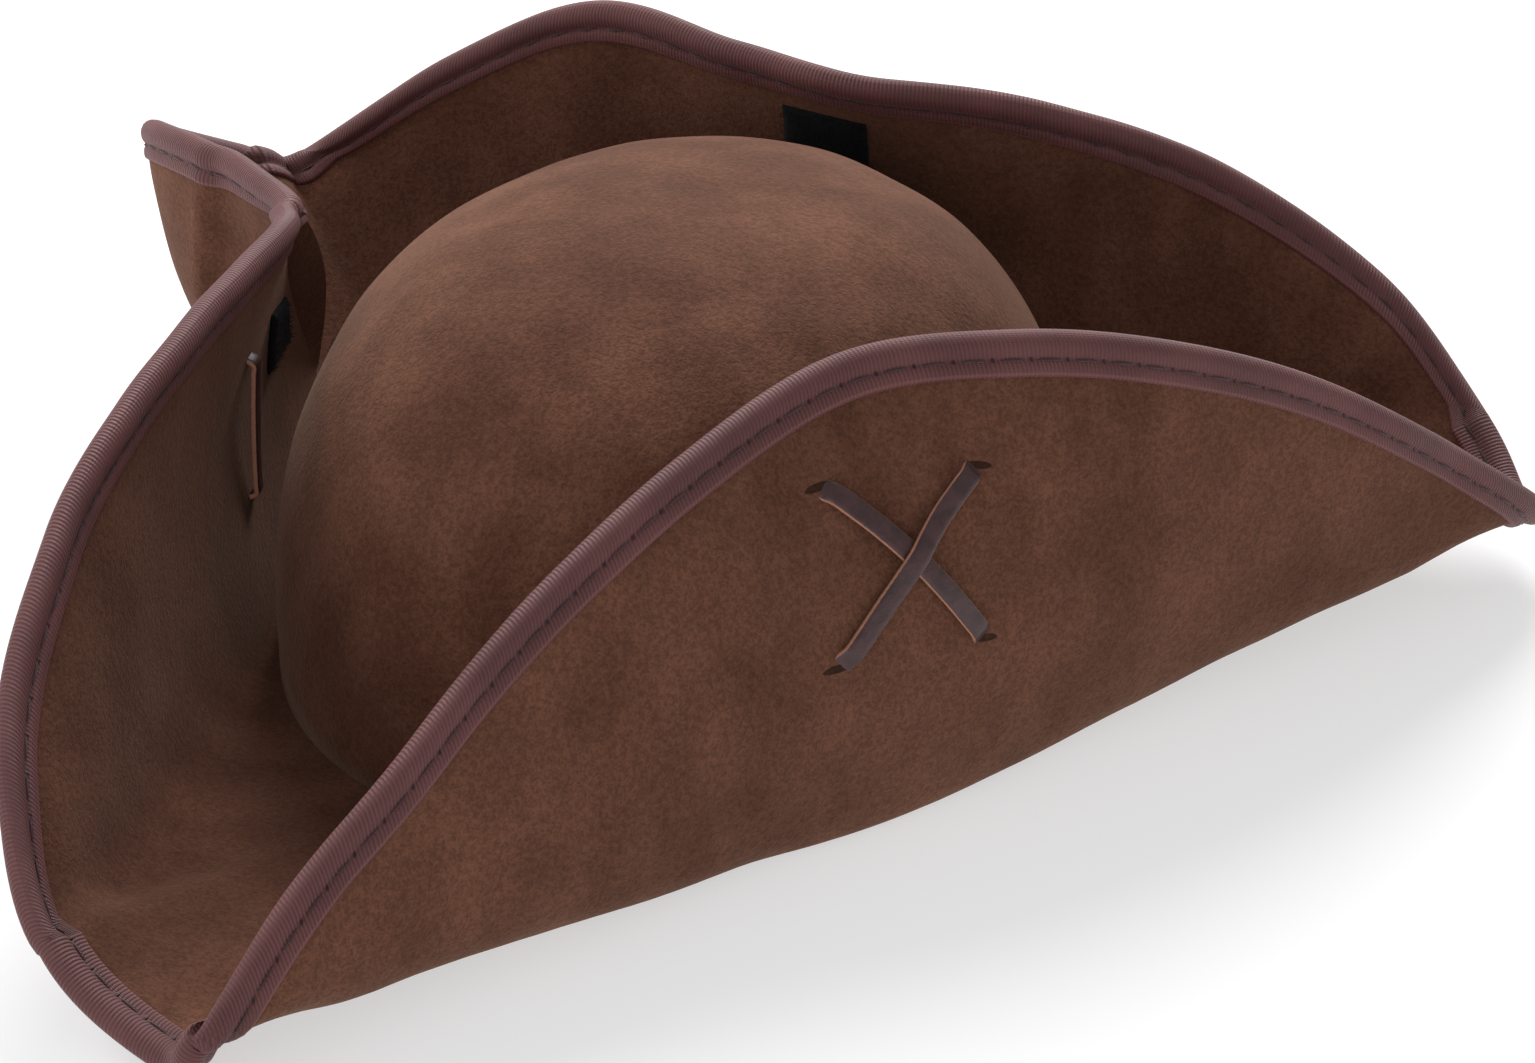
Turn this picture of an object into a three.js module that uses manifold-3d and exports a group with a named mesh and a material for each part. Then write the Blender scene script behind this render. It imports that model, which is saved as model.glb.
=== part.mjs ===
// A tricorn hat: a moulded crown on a wired brim that is turned up in three flaps.
// Millimetres, +Z up. The hat lies on z = 0, its front corner points along -Y and the
// origin is the middle of the head opening. Each flap folds out about its own fold line.
import * as THREE from 'three';
import { mergeVertices } from 'three/addons/utils/BufferGeometryUtils.js';
import Module from 'manifold-3d';

const wasm = await Module();
wasm.setup();

// ---- Driving dimensions -------------------------------------------------------------

const CROWN_HALF_X = 88;        // outer half width of the crown at the brim
const CROWN_HALF_Y = 104;       // outer half length of the crown at the brim
const CROWN_HEIGHT = 105;       // top of the crown above the table
const CROWN_ROUNDNESS = 2.6;    // exponent of the crown's side profile
const CROWN_LAYERS = { suede: [0, 1.0], stiffener: [1.4, 2.6], lining: [3.0, 3.8] };
const CROWN_FOOT = 3.8;         // underside of the crown wall, just above the brim
const ROUND_SIDES = 32;

const BAND_INSET = 4.4;         // sweatband's outer face behind the crown's outer face
const BAND_THICK = 1.2;
const BAND_HEIGHT = 30;

const MID_HEIGHT = 1.6;         // middle of the brim's thickness where it lies flat
const BRIM_SKIRT = 7;           // brim reaches this far in under the crown wall
const BRIM_START = 2.5;         // the brim begins to turn up this far outside the crown
const BRIM_LAYERS = { outer_suede: [-1.6, -0.8], stiffener: [-0.45, 0.45], inner_suede: [0.8, 1.6] };
const FOLD_STEEPNESS = 76;      // degrees the brim has turned up by at a fold line
const RIM_CURL = 0.6;           // how far a flap goes on bending towards its rim
const FOLD_GAP = 1.6;           // clearance of each sheet's edge from the fold line
const RIM_INSET = 4.2;          // sheet edge behind the outermost line of the rim
const FLAP_END = 0.6;           // a flap starts this part of a station past its corner
const END_GAP = 0.08;           // its clearance there from the base, as part of a station
const CORNER_SLOPE = 0.2;       // the base's edge drops to the fold line over this part

const WIRE_RADIUS = 0.8;
const WIRE_INSET = 2.6;         // rim wire's centre behind the rim line
const TAPE_REACH = 10;          // how far the grosgrain tape comes down the sheet
const TAPE_MARGIN = 1;          // sheet below the tape that runs on straight
const TAPE_OUTER = 3.3;         // tape faces from the middle of the sheet
const TAPE_INNER = 2.5;
const TAPE_NOSE = 0.7;          // tape thickness round the rim line

const PATCH_THICK = 1.6;        // one half of a hook-and-loop fastener
const PATCH_CLEAR = 0.6;        // from the sheet or the crown behind it
const LACE_WIDTH = 4.5;
const LACE_THICK = 1.2;

// Stations of the wired rim, anticlockwise from the front corner: bearing in degrees,
// reach from the middle of the head opening, and height. A fold's name marks its ends.
const RIM_STATIONS = [
  ['front_corner', -95, 210, 6],
  ['left_start'], [null, -90, 188, 37], [null, -86, 165, 55], [null, -80, 133, 75],
  [null, -67, 98, 91], [null, -42, 77, 101], [null, -17, 90, 101], [null, -1, 112, 93],
  [null, 11, 138, 77], [null, 20, 167, 53], ['left_end'],
  ['left_corner', 33, 201, 15],
  ['rear_start'], [null, 48, 184, 53], [null, 57, 153, 79], [null, 66, 116, 96],
  [null, 86, 90, 102], [null, 106, 99, 104], [null, 123, 126, 105], [null, 136, 151, 85],
  ['rear_end'],
  ['right_corner', 150, 182, 58],
  [null, 158, 182, 71], [null, 163, 164, 81], [null, 168, 130, 86],
  ['pinch', 179, 99, 88], [null, -166, 90, 93], [null, -143, 104, 93], [null, -129, 129, 87],
  [null, -121, 156, 73], [null, -113, 186, 47], ['right_end'],
];

// Straight fold lines, each from its start to its end, anticlockwise round the hat.
const FOLDS = {
  left: { start: [-8, -213, 16], end: [175, 96, 21] },
  rear: { start: [155, 123, 27], end: [-149, 99, 55] },
  right: { start: [-111, 33, 24], end: [-49, -198, 18] },
};
const CURL_CONTROL = new THREE.Vector3(-172, 42, 28);   // bends the fold of the raised corner

// Middle of each lace's cross and of each fastener: station number along the rim, and part
// of the way from the fold line to the rim. A cross reaches half its width along the brim
// and half its height up the flap, from its middle to its slits.
const LACES = {
  left: { centre: [6.06, 0.48], halfWidth: 19, halfHeight: 20 },
  right: { centre: [27.7, 0.35], halfWidth: 19, halfHeight: 18 },
};
const FASTENERS = {
  left: { centre: [6.1, 0.68], half: 10.5 },
  rear: { centre: [17.35, 0.60], half: 10.5 },
  right: { centre: [26.5, 0.5], half: 8.5 },
};

const UP = new THREE.Vector3(0, 0, 1);
const RAD = Math.PI / 180;

// ---- Materials ----------------------------------------------------------------------

function finish(color, roughness) {
  return new THREE.MeshStandardMaterial({ color, roughness, metalness: 0 });
}
const FINISH = {
  suede: finish(0x6b4f40, 0.92),
  lining: finish(0x2b2422, 0.8),
  buckram: finish(0xb9ae97, 0.85),
  tape: finish(0x5a4145, 0.7),
  leather: finish(0x5f4a4a, 0.5),
  hook: finish(0x151414, 0.95),
  wire: new THREE.MeshStandardMaterial({ color: 0x9a9a9c, roughness: 0.35, metalness: 1 }),
};

const hat = new THREE.Group();

function add(name, geometry, material) {
  const mesh = new THREE.Mesh(geometry, material);
  mesh.name = name;
  hat.add(mesh);
}

// ---- Crown outline and brim surface ---------------------------------------------------

function crownReach(bearing) {
  return 1 / Math.hypot(Math.cos(bearing) / CROWN_HALF_X, Math.sin(bearing) / CROWN_HALF_Y);
}

// Part of the crown's base reach that is left at a height.
function crownTaper(z) {
  return (1 - (z / CROWN_HEIGHT) ** CROWN_ROUNDNESS) ** (1 / CROWN_ROUNDNESS);
}

function polar(bearing, reach, z) {
  return new THREE.Vector3(reach * Math.cos(bearing), reach * Math.sin(bearing), z);
}

const folds = {};
for (const [name, { start, end }] of Object.entries(FOLDS)) {
  const a = new THREE.Vector3(...start);
  const b = new THREE.Vector3(...end);
  const along = b.clone().sub(a).normalize();
  const out = new THREE.Vector3(along.y, -along.x, 0).normalize();
  folds[name] = { a, b, along, out, length: a.distanceTo(b) };
}

function stationPoint([name, bearing, reach, z]) {
  if (reach) return polar(bearing * RAD, reach, z);
  const [fold, which] = name.split('_');
  return which === 'start' ? folds[fold].a : folds[fold].b;
}
const rimPoints = RIM_STATIONS.map(stationPoint);
const COUNT = rimPoints.length;
const station = (name) => RIM_STATIONS.findIndex(([label]) => label === name);

const FLAP_SPAN = {
  left: [station('left_start'), station('left_end')],
  rear: [station('rear_start'), station('rear_end')],
  right: [station('pinch'), station('right_end')],
};
const CURL_SPAN = [station('right_corner'), station('pinch')];
const corners = ['front_corner', 'left_corner', 'right_corner'].map((name) => rimPoints[station(name)]);

// Rim line: a closed Catmull-Rom curve through the stations.
function rimAt(t) {
  const i = Math.floor(t + COUNT);
  const f = t + COUNT - i;
  const [p, q, r, s] = [-1, 0, 1, 2].map((k) => rimPoints[(i + k + COUNT) % COUNT]);
  const mix = (a, b, c, d) => 0.5 * (2 * b + (c - a) * f + (2 * a - 5 * b + 4 * c - d) * f * f
    + (3 * b - a - 3 * c + d) * f * f * f);
  return new THREE.Vector3(mix(p.x, q.x, r.x, s.x), mix(p.y, q.y, r.y, s.y), mix(p.z, q.z, r.z, s.z));
}

// Height of the brim's floor, which rises along each corner's axis to the corner's tip.
function floorHeight(x, y) {
  let z = MID_HEIGHT;
  for (const tip of corners) {
    const reach = Math.hypot(tip.x, tip.y);
    const foot = crownReach(Math.atan2(tip.y, tip.x));
    const part = ((x * tip.x + y * tip.y) / reach - foot) / (reach - foot);
    if (part > 0) z += (tip.z - MID_HEIGHT) * part ** 1.25;
  }
  return z;
}

function easedHandles(from, corner, to) {
  return [from, from.clone().lerp(corner, 0.75), to.clone().lerp(corner, 0.75), to];
}

// Base of the brim from the crown out to a fold point, as a cubic that leaves flat.
function baseCurve(fold, out) {
  const bearing = Math.atan2(fold.y, fold.x);
  const inner = crownReach(bearing) + BRIM_START;
  const outer = Math.hypot(fold.x, fold.y);
  const middle = inner + 0.5 * (outer - inner);
  if (!out) {
    const corner = polar(bearing, middle, 0);
    corner.z = floorHeight(corner.x, corner.y);
    return easedHandles(polar(bearing, inner, MID_HEIGHT), corner, fold);
  }
  const rise = Math.max(fold.z - floorHeight(fold.x, fold.y), 2);
  const facing = Math.max(Math.cos(bearing) * out.x + Math.sin(bearing) * out.y, 0.2);
  const least = inner + 0.3 * (outer - inner);
  const wanted = outer - rise / (facing * Math.tan(FOLD_STEEPNESS * RAD));
  const reach = Math.min(0.5 * (least + wanted + Math.hypot(wanted - least, 3)), outer - 1);
  const corner = polar(bearing, reach, 0);
  corner.z = Math.min(floorHeight(corner.x, corner.y), fold.z - 0.5);
  return easedHandles(polar(bearing, inner, MID_HEIGHT), corner, fold);
}

function foldOfCurl(part) {
  return new THREE.QuadraticBezierCurve3(corners[2], CURL_CONTROL, folds.right.a).getPoint(part);
}

// Fold point, fold direction and outward direction that belong to a place on the rim.
function foldAt(t, rim) {
  for (const [name, [first, last]] of Object.entries(FLAP_SPAN)) {
    if (t < first || t > last) continue;
    const { a, along, out, length } = folds[name];
    const run = THREE.MathUtils.clamp(rim.clone().sub(a).dot(along), 0, length);
    return { point: a.clone().addScaledVector(along, run), along, out };
  }
  if (t <= CURL_SPAN[0] || t >= CURL_SPAN[1]) return null;
  const part = (t - CURL_SPAN[0]) / (CURL_SPAN[1] - CURL_SPAN[0]);
  const along = foldOfCurl(Math.min(part + 0.01, 1)).sub(foldOfCurl(Math.max(part - 0.01, 0))).normalize();
  return { point: foldOfCurl(part), along, out: new THREE.Vector3(along.y, -along.x, 0).normalize() };
}

const without = (v, axis) => v.addScaledVector(axis, -v.dot(axis));

// The brim's cross section at a place on the rim: base curve, then flap curve if it has one.
function sectionAt(t) {
  const place = ((t % COUNT) + COUNT) % COUNT;
  const rim = rimAt(place);
  const fold = foldAt(place, rim);
  if (!fold) return [baseCurve(rim, null)];
  const base = baseCurve(fold.point, fold.out);
  const leaving = without(base[3].clone().sub(base[2]), fold.along).normalize();
  const across = without(rim.clone().sub(fold.point), fold.along);
  const size = across.length();
  if (size < 0.5) return [base];
  const lean = Math.atan2(across.z, across.dot(fold.out));
  const start = Math.atan2(leaving.z, leaving.dot(fold.out));
  const end = lean + RIM_CURL * (lean - start);
  const arriving = fold.out.clone().multiplyScalar(Math.cos(end)).addScaledVector(UP, Math.sin(end));
  const handle = 0.35 * size;
  const flap = [fold.point, fold.point.clone().addScaledVector(leaving, handle),
    rim.clone().addScaledVector(arriving, -handle), rim];
  return [base, flap];
}

function curvePoint([a, b, c, d], v) {
  return new THREE.CubicBezierCurve3(a, b, c, d).getPoint(v);
}

// Middle surface of the brim: v runs 0 to 1 over the base and 1 to 2 over the flap.
function surface(t, v) {
  const section = sectionAt(t);
  if (section.length === 1) return curvePoint(section[0], Math.min(v, 2) / (v > 1 ? v : 1));
  return v <= 1 ? curvePoint(section[0], v) : curvePoint(section[1], v - 1);
}

// Unit normal of a flap, towards the crown.
function flapNormal(t, v) {
  const STEP = 0.03;
  const upTo = Math.min(v + STEP, 1);
  const downTo = Math.max(v - STEP, 0);
  const up = surface(t, 1 + upTo).sub(surface(t, 1 + downTo));
  const along = surface(t + STEP, 1 + v).sub(surface(t - STEP, 1 + v));
  return up.cross(along).normalize();
}

function flapPoint(t, v, offset) {
  return surface(t, 1 + v).addScaledVector(flapNormal(t, v), offset);
}

// ---- Solids from rows of points -------------------------------------------------------

function closedMesh(points, faces) {
  const geometry = new THREE.BufferGeometry();
  geometry.setAttribute('position', new THREE.Float32BufferAttribute(points.flatMap((p) => [p.x, p.y, p.z]), 3));
  geometry.setIndex(faces);
  return mergeVertices(geometry, 1e-4);
}

// A slab between two grids, front[column][row] and back[column][row]. Seen from the front
// side, columns run to the left and rows run up. A ring joins its last column to its first.
// From row mirror on, the squares are halved along their other diagonal.
function slab(front, back, ring = false, mirror = Infinity) {
  const columns = front.length;
  const rows = front[0].length;
  const points = [...front.flat(), ...back.flat()];
  const faces = [];
  const at = (side, i, k) => side * columns * rows + (i % columns) * rows + k;
  const quad = (a, b, c, d) => faces.push(a, b, c, a, c, d);
  const spans = ring ? columns : columns - 1;
  for (let i = 0; i < spans; i += 1) {
    for (let k = 0; k < rows - 1; k += 1) {
      const outside = [at(0, i, k), at(0, i, k + 1), at(0, i + 1, k + 1), at(0, i + 1, k)];
      const inside = [at(1, i, k), at(1, i + 1, k), at(1, i + 1, k + 1), at(1, i, k + 1)];
      for (const [a, b, c, d] of [outside, inside]) {
        if (k < mirror) quad(a, b, c, d);
        else quad(b, c, d, a);
      }
    }
    quad(at(0, i, 0), at(0, i + 1, 0), at(1, i + 1, 0), at(1, i, 0));
    quad(at(0, i, rows - 1), at(1, i, rows - 1), at(1, i + 1, rows - 1), at(0, i + 1, rows - 1));
  }
  if (ring) return closedMesh(points, faces);
  for (let k = 0; k < rows - 1; k += 1) {
    const last = columns - 1;
    quad(at(0, 0, k), at(1, 0, k), at(1, 0, k + 1), at(0, 0, k + 1));
    quad(at(0, last, k), at(0, last, k + 1), at(1, last, k + 1), at(1, last, k));
  }
  return closedMesh(points, faces);
}

function polyline(points) {
  const path = new THREE.CurvePath();
  for (let i = 1; i < points.length; i += 1) path.add(new THREE.LineCurve3(points[i - 1], points[i]));
  const length = path.getLength();
  return { length, at: (run) => path.getPoint(THREE.MathUtils.clamp(run / length, 0, 1)) };
}

// Evenly spaced points along a polyline, from one distance to another.
function evenly(line, from, to, count) {
  return Array.from({ length: count }, (_, k) => line.at(from + ((to - from) * k) / (count - 1)));
}

// The straight last stretch of a section: where the tape begins, the rim, and the way out.
function rimStretch(line) {
  const rim = line.at(line.length);
  const back = line.at(line.length - TAPE_REACH - TAPE_MARGIN);
  return { rim, back, reach: rim.clone().sub(back).normalize() };
}

// Rows of a sheet that ends inside the rim tape.
function rowsToRim(line, from, count) {
  const { rim, reach } = rimStretch(line);
  const rows = evenly(line, from, line.length - TAPE_REACH - TAPE_MARGIN, count - 1);
  return [...rows, rim.addScaledVector(reach, -RIM_INSET)];
}

// Points of a column and their normals, on the side that the slab's front faces. column(t)
// gives the points at a place on the rim.
function withNormals(column, t, toRim = true) {
  const STEP = 0.04;
  const points = column(t);
  const ahead = column(t + STEP);
  const behind = column(t - STEP);
  const last = points.length - 1;
  const normals = points.map((_, k) => {
    const along = ahead[k].clone().sub(behind[k]);
    const up = points[Math.min(k + 1, last)].clone().sub(points[Math.max(k - 1, 0)]);
    return up.cross(along).normalize();
  });
  if (toRim) normals[last] = rimFrame(t).inward;
  return { points, normals };
}

function layer(columns, [low, high], ring) {
  const shifted = (offset) => columns.map(({ points, normals }) => points.map((p, k) => (
    p.clone().addScaledVector(normals[k], offset))));
  return slab(shifted(high), shifted(low), ring);
}

// ---- Boolean cuts ---------------------------------------------------------------------

function toSolid(geometry) {
  const bare = geometry.clone();
  bare.deleteAttribute('normal');
  bare.deleteAttribute('uv');
  const merged = mergeVertices(bare, 1e-4);
  return new wasm.Manifold(new wasm.Mesh({
    numProp: 3,
    vertProperties: new Float32Array(merged.attributes.position.array),
    triVerts: new Uint32Array(merged.index.array),
  }));
}

function toGeometry(solid) {
  const mesh = solid.getMesh();
  const geometry = new THREE.BufferGeometry();
  geometry.setAttribute('position', new THREE.BufferAttribute(new Float32Array(mesh.vertProperties), 3));
  geometry.setIndex(new THREE.BufferAttribute(new Uint32Array(mesh.triVerts), 1));
  return geometry;
}

// ---- Crown ----------------------------------------------------------------------------

// Side profile of the crown at an inset from its outer face, from a low height to the top.
function crownProfile(inset, foot, steps) {
  const height = CROWN_HEIGHT - inset;
  const points = [];
  for (let i = 0; i <= steps; i += 1) {
    const angle = (i / steps) * 90 * RAD;
    const across = Math.cos(angle) ** (2 / CROWN_ROUNDNESS);
    const z = foot + (height - foot) * Math.sin(angle) ** (2 / CROWN_ROUNDNESS);
    const reach = i === steps ? 0 : (CROWN_HALF_Y - inset) * across;
    points.push(new THREE.Vector2(reach, z));
  }
  return points;
}

function crownShell([outer, inner]) {
  const STEPS = 7;
  const outside = crownProfile(outer, CROWN_FOOT, STEPS);
  const inside = crownProfile(inner, CROWN_FOOT, STEPS).reverse();
  const shell = new THREE.LatheGeometry([...inside, ...outside], ROUND_SIDES);
  return shell.rotateX(Math.PI / 2).scale(CROWN_HALF_X / CROWN_HALF_Y, 1, 1);
}

function bandReach(z) {
  const share = (z - CROWN_FOOT) / (CROWN_HEIGHT - CROWN_FOOT);
  return (1 - share ** CROWN_ROUNDNESS) ** (1 / CROWN_ROUNDNESS) * CROWN_HALF_Y - BAND_INSET;
}

function sweatband() {
  const low = CROWN_FOOT;
  const high = low + BAND_HEIGHT;
  const corner = (reach, z) => new THREE.Vector2(reach, z);
  const outline = [
    corner(bandReach(high) - BAND_THICK - 0.6, low), corner(bandReach(high) - 0.6, low),
    corner(bandReach(high) - 0.6, high), corner(bandReach(high) - BAND_THICK - 0.6, high),
  ];
  const ring = new THREE.LatheGeometry([...outline, outline[0]], ROUND_SIDES);
  return ring.rotateX(Math.PI / 2).scale(CROWN_HALF_X / CROWN_HALF_Y, 1, 1);
}

// ---- Brim base, the part that stays with the crown --------------------------------------

function inFlap(t) {
  return Object.entries(FLAP_SPAN).some(([name, [first, last]]) => {
    const from = name === 'right' ? first : first + FLAP_END;
    return t > from - 0.01 && t < last - FLAP_END + 0.01;
  });
}

function sectionLine(t, flapOnly = false) {
  const curves = flapOnly ? sectionAt(t).slice(1) : sectionAt(t);
  return polyline(curves.flatMap((curve) => new THREE.CubicBezierCurve3(...curve).getPoints(12)));
}

function baseColumn(t, foldsUp) {
  const ROWS = 6;
  const line = foldsUp
    ? polyline(new THREE.CubicBezierCurve3(...sectionAt(t)[0]).getPoints(12)) : sectionLine(t);
  const start = line.at(0);
  const inward = new THREE.Vector3(start.x, start.y, 0).setLength(BRIM_SKIRT);
  const rows = foldsUp ? evenly(line, 0, line.length - FOLD_GAP, ROWS) : rowsToRim(line, 0, ROWS);
  return [start.clone().sub(inward), ...rows];
}

// Both ends of the two slopes on which the base's edge drops to each fold line.
function slopes() {
  return Object.entries(FLAP_SPAN).flatMap(([name, [first, last]]) => {
    const from = name === 'right' ? first + 0.05 : first + FLAP_END;
    return [[from - CORNER_SLOPE, from], [last - FLAP_END, last - FLAP_END + CORNER_SLOPE]];
  });
}

function bearingAt(t) {
  const { x, y } = foldAt(t, rimAt(t)).point;
  return Math.atan2(y, x) / RAD;
}

// Every half station, less the half stations by a fold line that turn by little.
function baseStations() {
  const LEAST_TURN = 7;
  const list = Array.from({ length: COUNT * 2 }, (_, i) => i / 2);
  const kept = list.filter((t) => !slopes().some(([a, b]) => t > a - 0.1 && t < b + 0.1)
    && (t % 1 === 0 || !inFlap(t) || Math.abs(bearingAt(t + 0.5) - bearingAt(t - 0.5)) > 2 * LEAST_TURN));
  return [...kept, ...slopes().flat()].sort((a, b) => a - b);
}

function buildBase() {
  const columns = baseStations().map((t) => {
    const column = withNormals((place) => baseColumn(place, inFlap(t)), t, !inFlap(t));
    column.normals[0] = UP;
    column.normals[1] = UP;
    return column;
  });
  for (const [name, span] of Object.entries(BRIM_LAYERS)) {
    const material = name === 'stiffener' ? FINISH.buckram : FINISH.suede;
    add(`brim_base_${name}`, layer(columns, span, true), material);
  }
}

// ---- Rim tape and rim wire --------------------------------------------------------------

function rimFrame(t) {
  const STEP = 0.04;
  const { rim, reach } = rimStretch(sectionLine(t));
  const along = rimAt(t + STEP).sub(rimAt(t - STEP));
  return { rim, reach, inward: reach.clone().cross(along).normalize() };
}

// The tape's folded section: points across the sheet's edge from the crown side round the
// rim to the outer side, as distance behind the rim and offset from the sheet's middle.
function tapeSection(t) {
  const { rim, reach, inward } = rimFrame(t);
  const place = (behind, offset) => rim.clone().addScaledVector(reach, -behind).addScaledVector(inward, offset);
  const outer = [[TAPE_REACH, TAPE_OUTER], [2.6, TAPE_OUTER], [0.3, 1.7], [0.3, -1.7],
    [2.6, -TAPE_OUTER], [TAPE_REACH, -TAPE_OUTER]];
  const inner = [[TAPE_REACH, TAPE_INNER], [3.0, TAPE_INNER], [0.3 + TAPE_NOSE, 1.3],
    [0.3 + TAPE_NOSE, -1.3], [3.0, -TAPE_INNER], [TAPE_REACH, -TAPE_INNER]];
  return [outer.map((p) => place(...p)), inner.map((p) => place(...p))];
}

function steps(from, to, perStation) {
  const count = Math.max(2, Math.round((to - from) * perStation));
  return Array.from({ length: count + 1 }, (_, i) => from + ((to - from) * i) / count);
}

function rimTape(stations) {
  const sections = stations.map(tapeSection);
  return slab(sections.map((s) => s[0]), sections.map((s) => s[1]), false, 3);
}

// The wire is drawn with six sides.
function rimWire(stations) {
  const side = (sign) => stations.map((t) => {
    const { rim, reach, inward } = rimFrame(t);
    return [30, 90, 150].map((angle) => rim.clone()
      .addScaledVector(reach, WIRE_RADIUS * Math.cos((180 - angle) * RAD) - WIRE_INSET)
      .addScaledVector(inward, sign * WIRE_RADIUS * Math.sin(angle * RAD)));
  });
  return slab(side(1), side(-1));
}

function buildRim(name, stations) {
  add(`${name}_rim_tape`, rimTape(stations), FINISH.tape);
  add(`${name}_rim_wire`, rimWire(stations), FINISH.wire);
}

// Stations of the base's own rim at a corner, in order past the front corner too.
function cornerStations(from, to) {
  const all = baseStations();
  return [...all, ...all.map((t) => t + COUNT)].filter((t) => t > from - 0.01 && t < to + 0.01);
}

// ---- Lace ---------------------------------------------------------------------------------

// Station and height parts that are a given distance from the middle of a lace's cross.
function nearPoint([t, v], across, up) {
  const STEP = 0.05;
  const perStation = surface(t + STEP, 1 + v).distanceTo(surface(t - STEP, 1 + v)) / (2 * STEP);
  const perHeight = surface(t, 1 + v + STEP).distanceTo(surface(t, 1 + v - STEP)) / (2 * STEP);
  return [t + across / perStation, v + up / perHeight];
}

// Route of one lace as [across, up, offset] from the middle of its cross. Both ends are
// tucked in behind one pair of slits, and one upright run joins the other pair inside.
function laceRoute({ halfWidth, halfHeight }) {
  const OUTSIDE = -(1.6 + 0.6 + LACE_THICK / 2);
  const INSIDE = 1.6 + 1.0 + LACE_THICK / 2;
  const OVER = OUTSIDE - LACE_THICK - 0.4;
  const CROSSING = [-0.92, -0.6, -0.25, 0, 0.25, 0.6, 0.92];
  const tail = [[1, -0.7, INSIDE], [1, -0.93, INSIDE], [1, -1, 0]];
  const upright = [0.9, 0.3, -0.3, -0.9].map((part) => [-1, part, INSIDE]);
  const parts = [
    ...tail,
    ...CROSSING.map((part) => [-part, part, OUTSIDE]),
    [-1, 1, 0], ...upright, [-1, -1, 0],
    ...CROSSING.map((part) => [part, part, Math.abs(part) < 0.3 ? OVER : OUTSIDE]),
    ...tail.map(([across, up, offset]) => [across, -up, offset]).reverse(),
  ];
  return parts.map(([across, up, offset]) => [across * halfWidth, up * halfHeight, offset]);
}

// Each route point on the hat, with the lace's width direction and its thickness direction.
function laceSections(cross) {
  const route = laceRoute(cross);
  const placed = route.map(([across, up, offset]) => {
    const [t, v] = nearPoint(cross.centre, across, up);
    return { point: flapPoint(t, v, offset), normal: flapNormal(t, v) };
  });
  const count = placed.length;
  const curve = new THREE.CatmullRomCurve3(placed.map(({ point }) => point), false, 'centripetal');
  const STEPS = (count - 1) * 3;
  return Array.from({ length: STEPS + 1 }, (_, i) => {
    const u = i / STEPS;
    const near = placed[Math.round(u * (count - 1))];
    const point = curve.getPoint(u);
    const heading = curve.getTangent(u);
    let width = near.normal.clone().cross(heading);
    if (width.length() < 0.5) width = new THREE.Vector3().crossVectors(UP, near.normal);
    width = without(width, heading).normalize();
    return { point, width, thick: heading.clone().cross(width).normalize() };
  });
}

function laceGeometry(cross) {
  const sections = laceSections(cross);
  for (let i = 1; i < sections.length; i += 1) {
    if (sections[i].width.dot(sections[i - 1].width) > 0) continue;
    sections[i].width.negate();
    sections[i].thick.negate();
  }
  const side = (sign) => sections.map(({ point, width, thick }) => [-0.5, 0.5].map((part) => (
    point.clone().addScaledVector(width, part * LACE_WIDTH).addScaledVector(thick, sign * 0.5 * LACE_THICK))));
  return slab(side(-1), side(1));
}

// Four slots through the flap's sheets, one at each corner of the cross.
function slitCutter({ centre, halfWidth, halfHeight }) {
  let cutter = null;
  for (const [side, end] of [[-1, -1], [-1, 1], [1, -1], [1, 1]]) {
    const [t, v] = nearPoint(centre, side * halfWidth, end * halfHeight);
    const normal = flapNormal(t, v);
    const across = new THREE.Vector3().crossVectors(UP, normal).normalize();
    const up = normal.clone().cross(across);
    const box = new THREE.BoxGeometry(LACE_WIDTH + 2.4, 5.2, 8);
    box.applyMatrix4(new THREE.Matrix4().makeBasis(across, up, normal).setPosition(flapPoint(t, v, 0)));
    cutter = cutter ? cutter.add(toSolid(box)) : toSolid(box);
  }
  return cutter;
}

// ---- Hook-and-loop fasteners ----------------------------------------------------------------

function loopPatch({ centre, half }) {
  const low = 1.6 + PATCH_CLEAR;
  const grid = (offset) => [-1, -0.5, 0, 0.5, 1].map((across) => [-1, -0.5, 0, 0.5, 1].map((up) => {
    const [t, v] = nearPoint(centre, across * half, up * half);
    return flapPoint(t, v, offset);
  }));
  return slab(grid(low + PATCH_THICK), grid(low));
}

function crownPoint(bearing, z, offset) {
  const share = (z - CROWN_FOOT) / (CROWN_HEIGHT - CROWN_FOOT);
  const reach = (1 - share ** CROWN_ROUNDNESS) ** (1 / CROWN_ROUNDNESS) * crownReach(bearing);
  const flare = (share / (1 - share ** CROWN_ROUNDNESS) ** (1 / CROWN_ROUNDNESS)) ** (CROWN_ROUNDNESS - 1);
  const slope = Math.atan(flare * crownReach(bearing) / CROWN_HEIGHT);
  return polar(bearing, reach + offset * Math.cos(slope), z + offset * Math.sin(slope));
}

function hookPatch({ centre, half }) {
  const facing = flapPoint(...centre, 0);
  const middle = Math.atan2(facing.y, facing.x);
  const turn = half / crownReach(middle);
  const grid = (offset) => [1, 0.5, 0, -0.5, -1].map((across) => [-1, -0.5, 0, 0.5, 1].map((up) => (
    crownPoint(middle + across * turn, facing.z - 4 + up * half * 0.8, offset))));
  return slab(grid(PATCH_CLEAR + PATCH_THICK), grid(PATCH_CLEAR));
}

// ---- Flaps ------------------------------------------------------------------------------------

function flapColumn(t) {
  const ROWS = 6;
  return rowsToRim(sectionLine(t, true), FOLD_GAP, ROWS);
}

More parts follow.
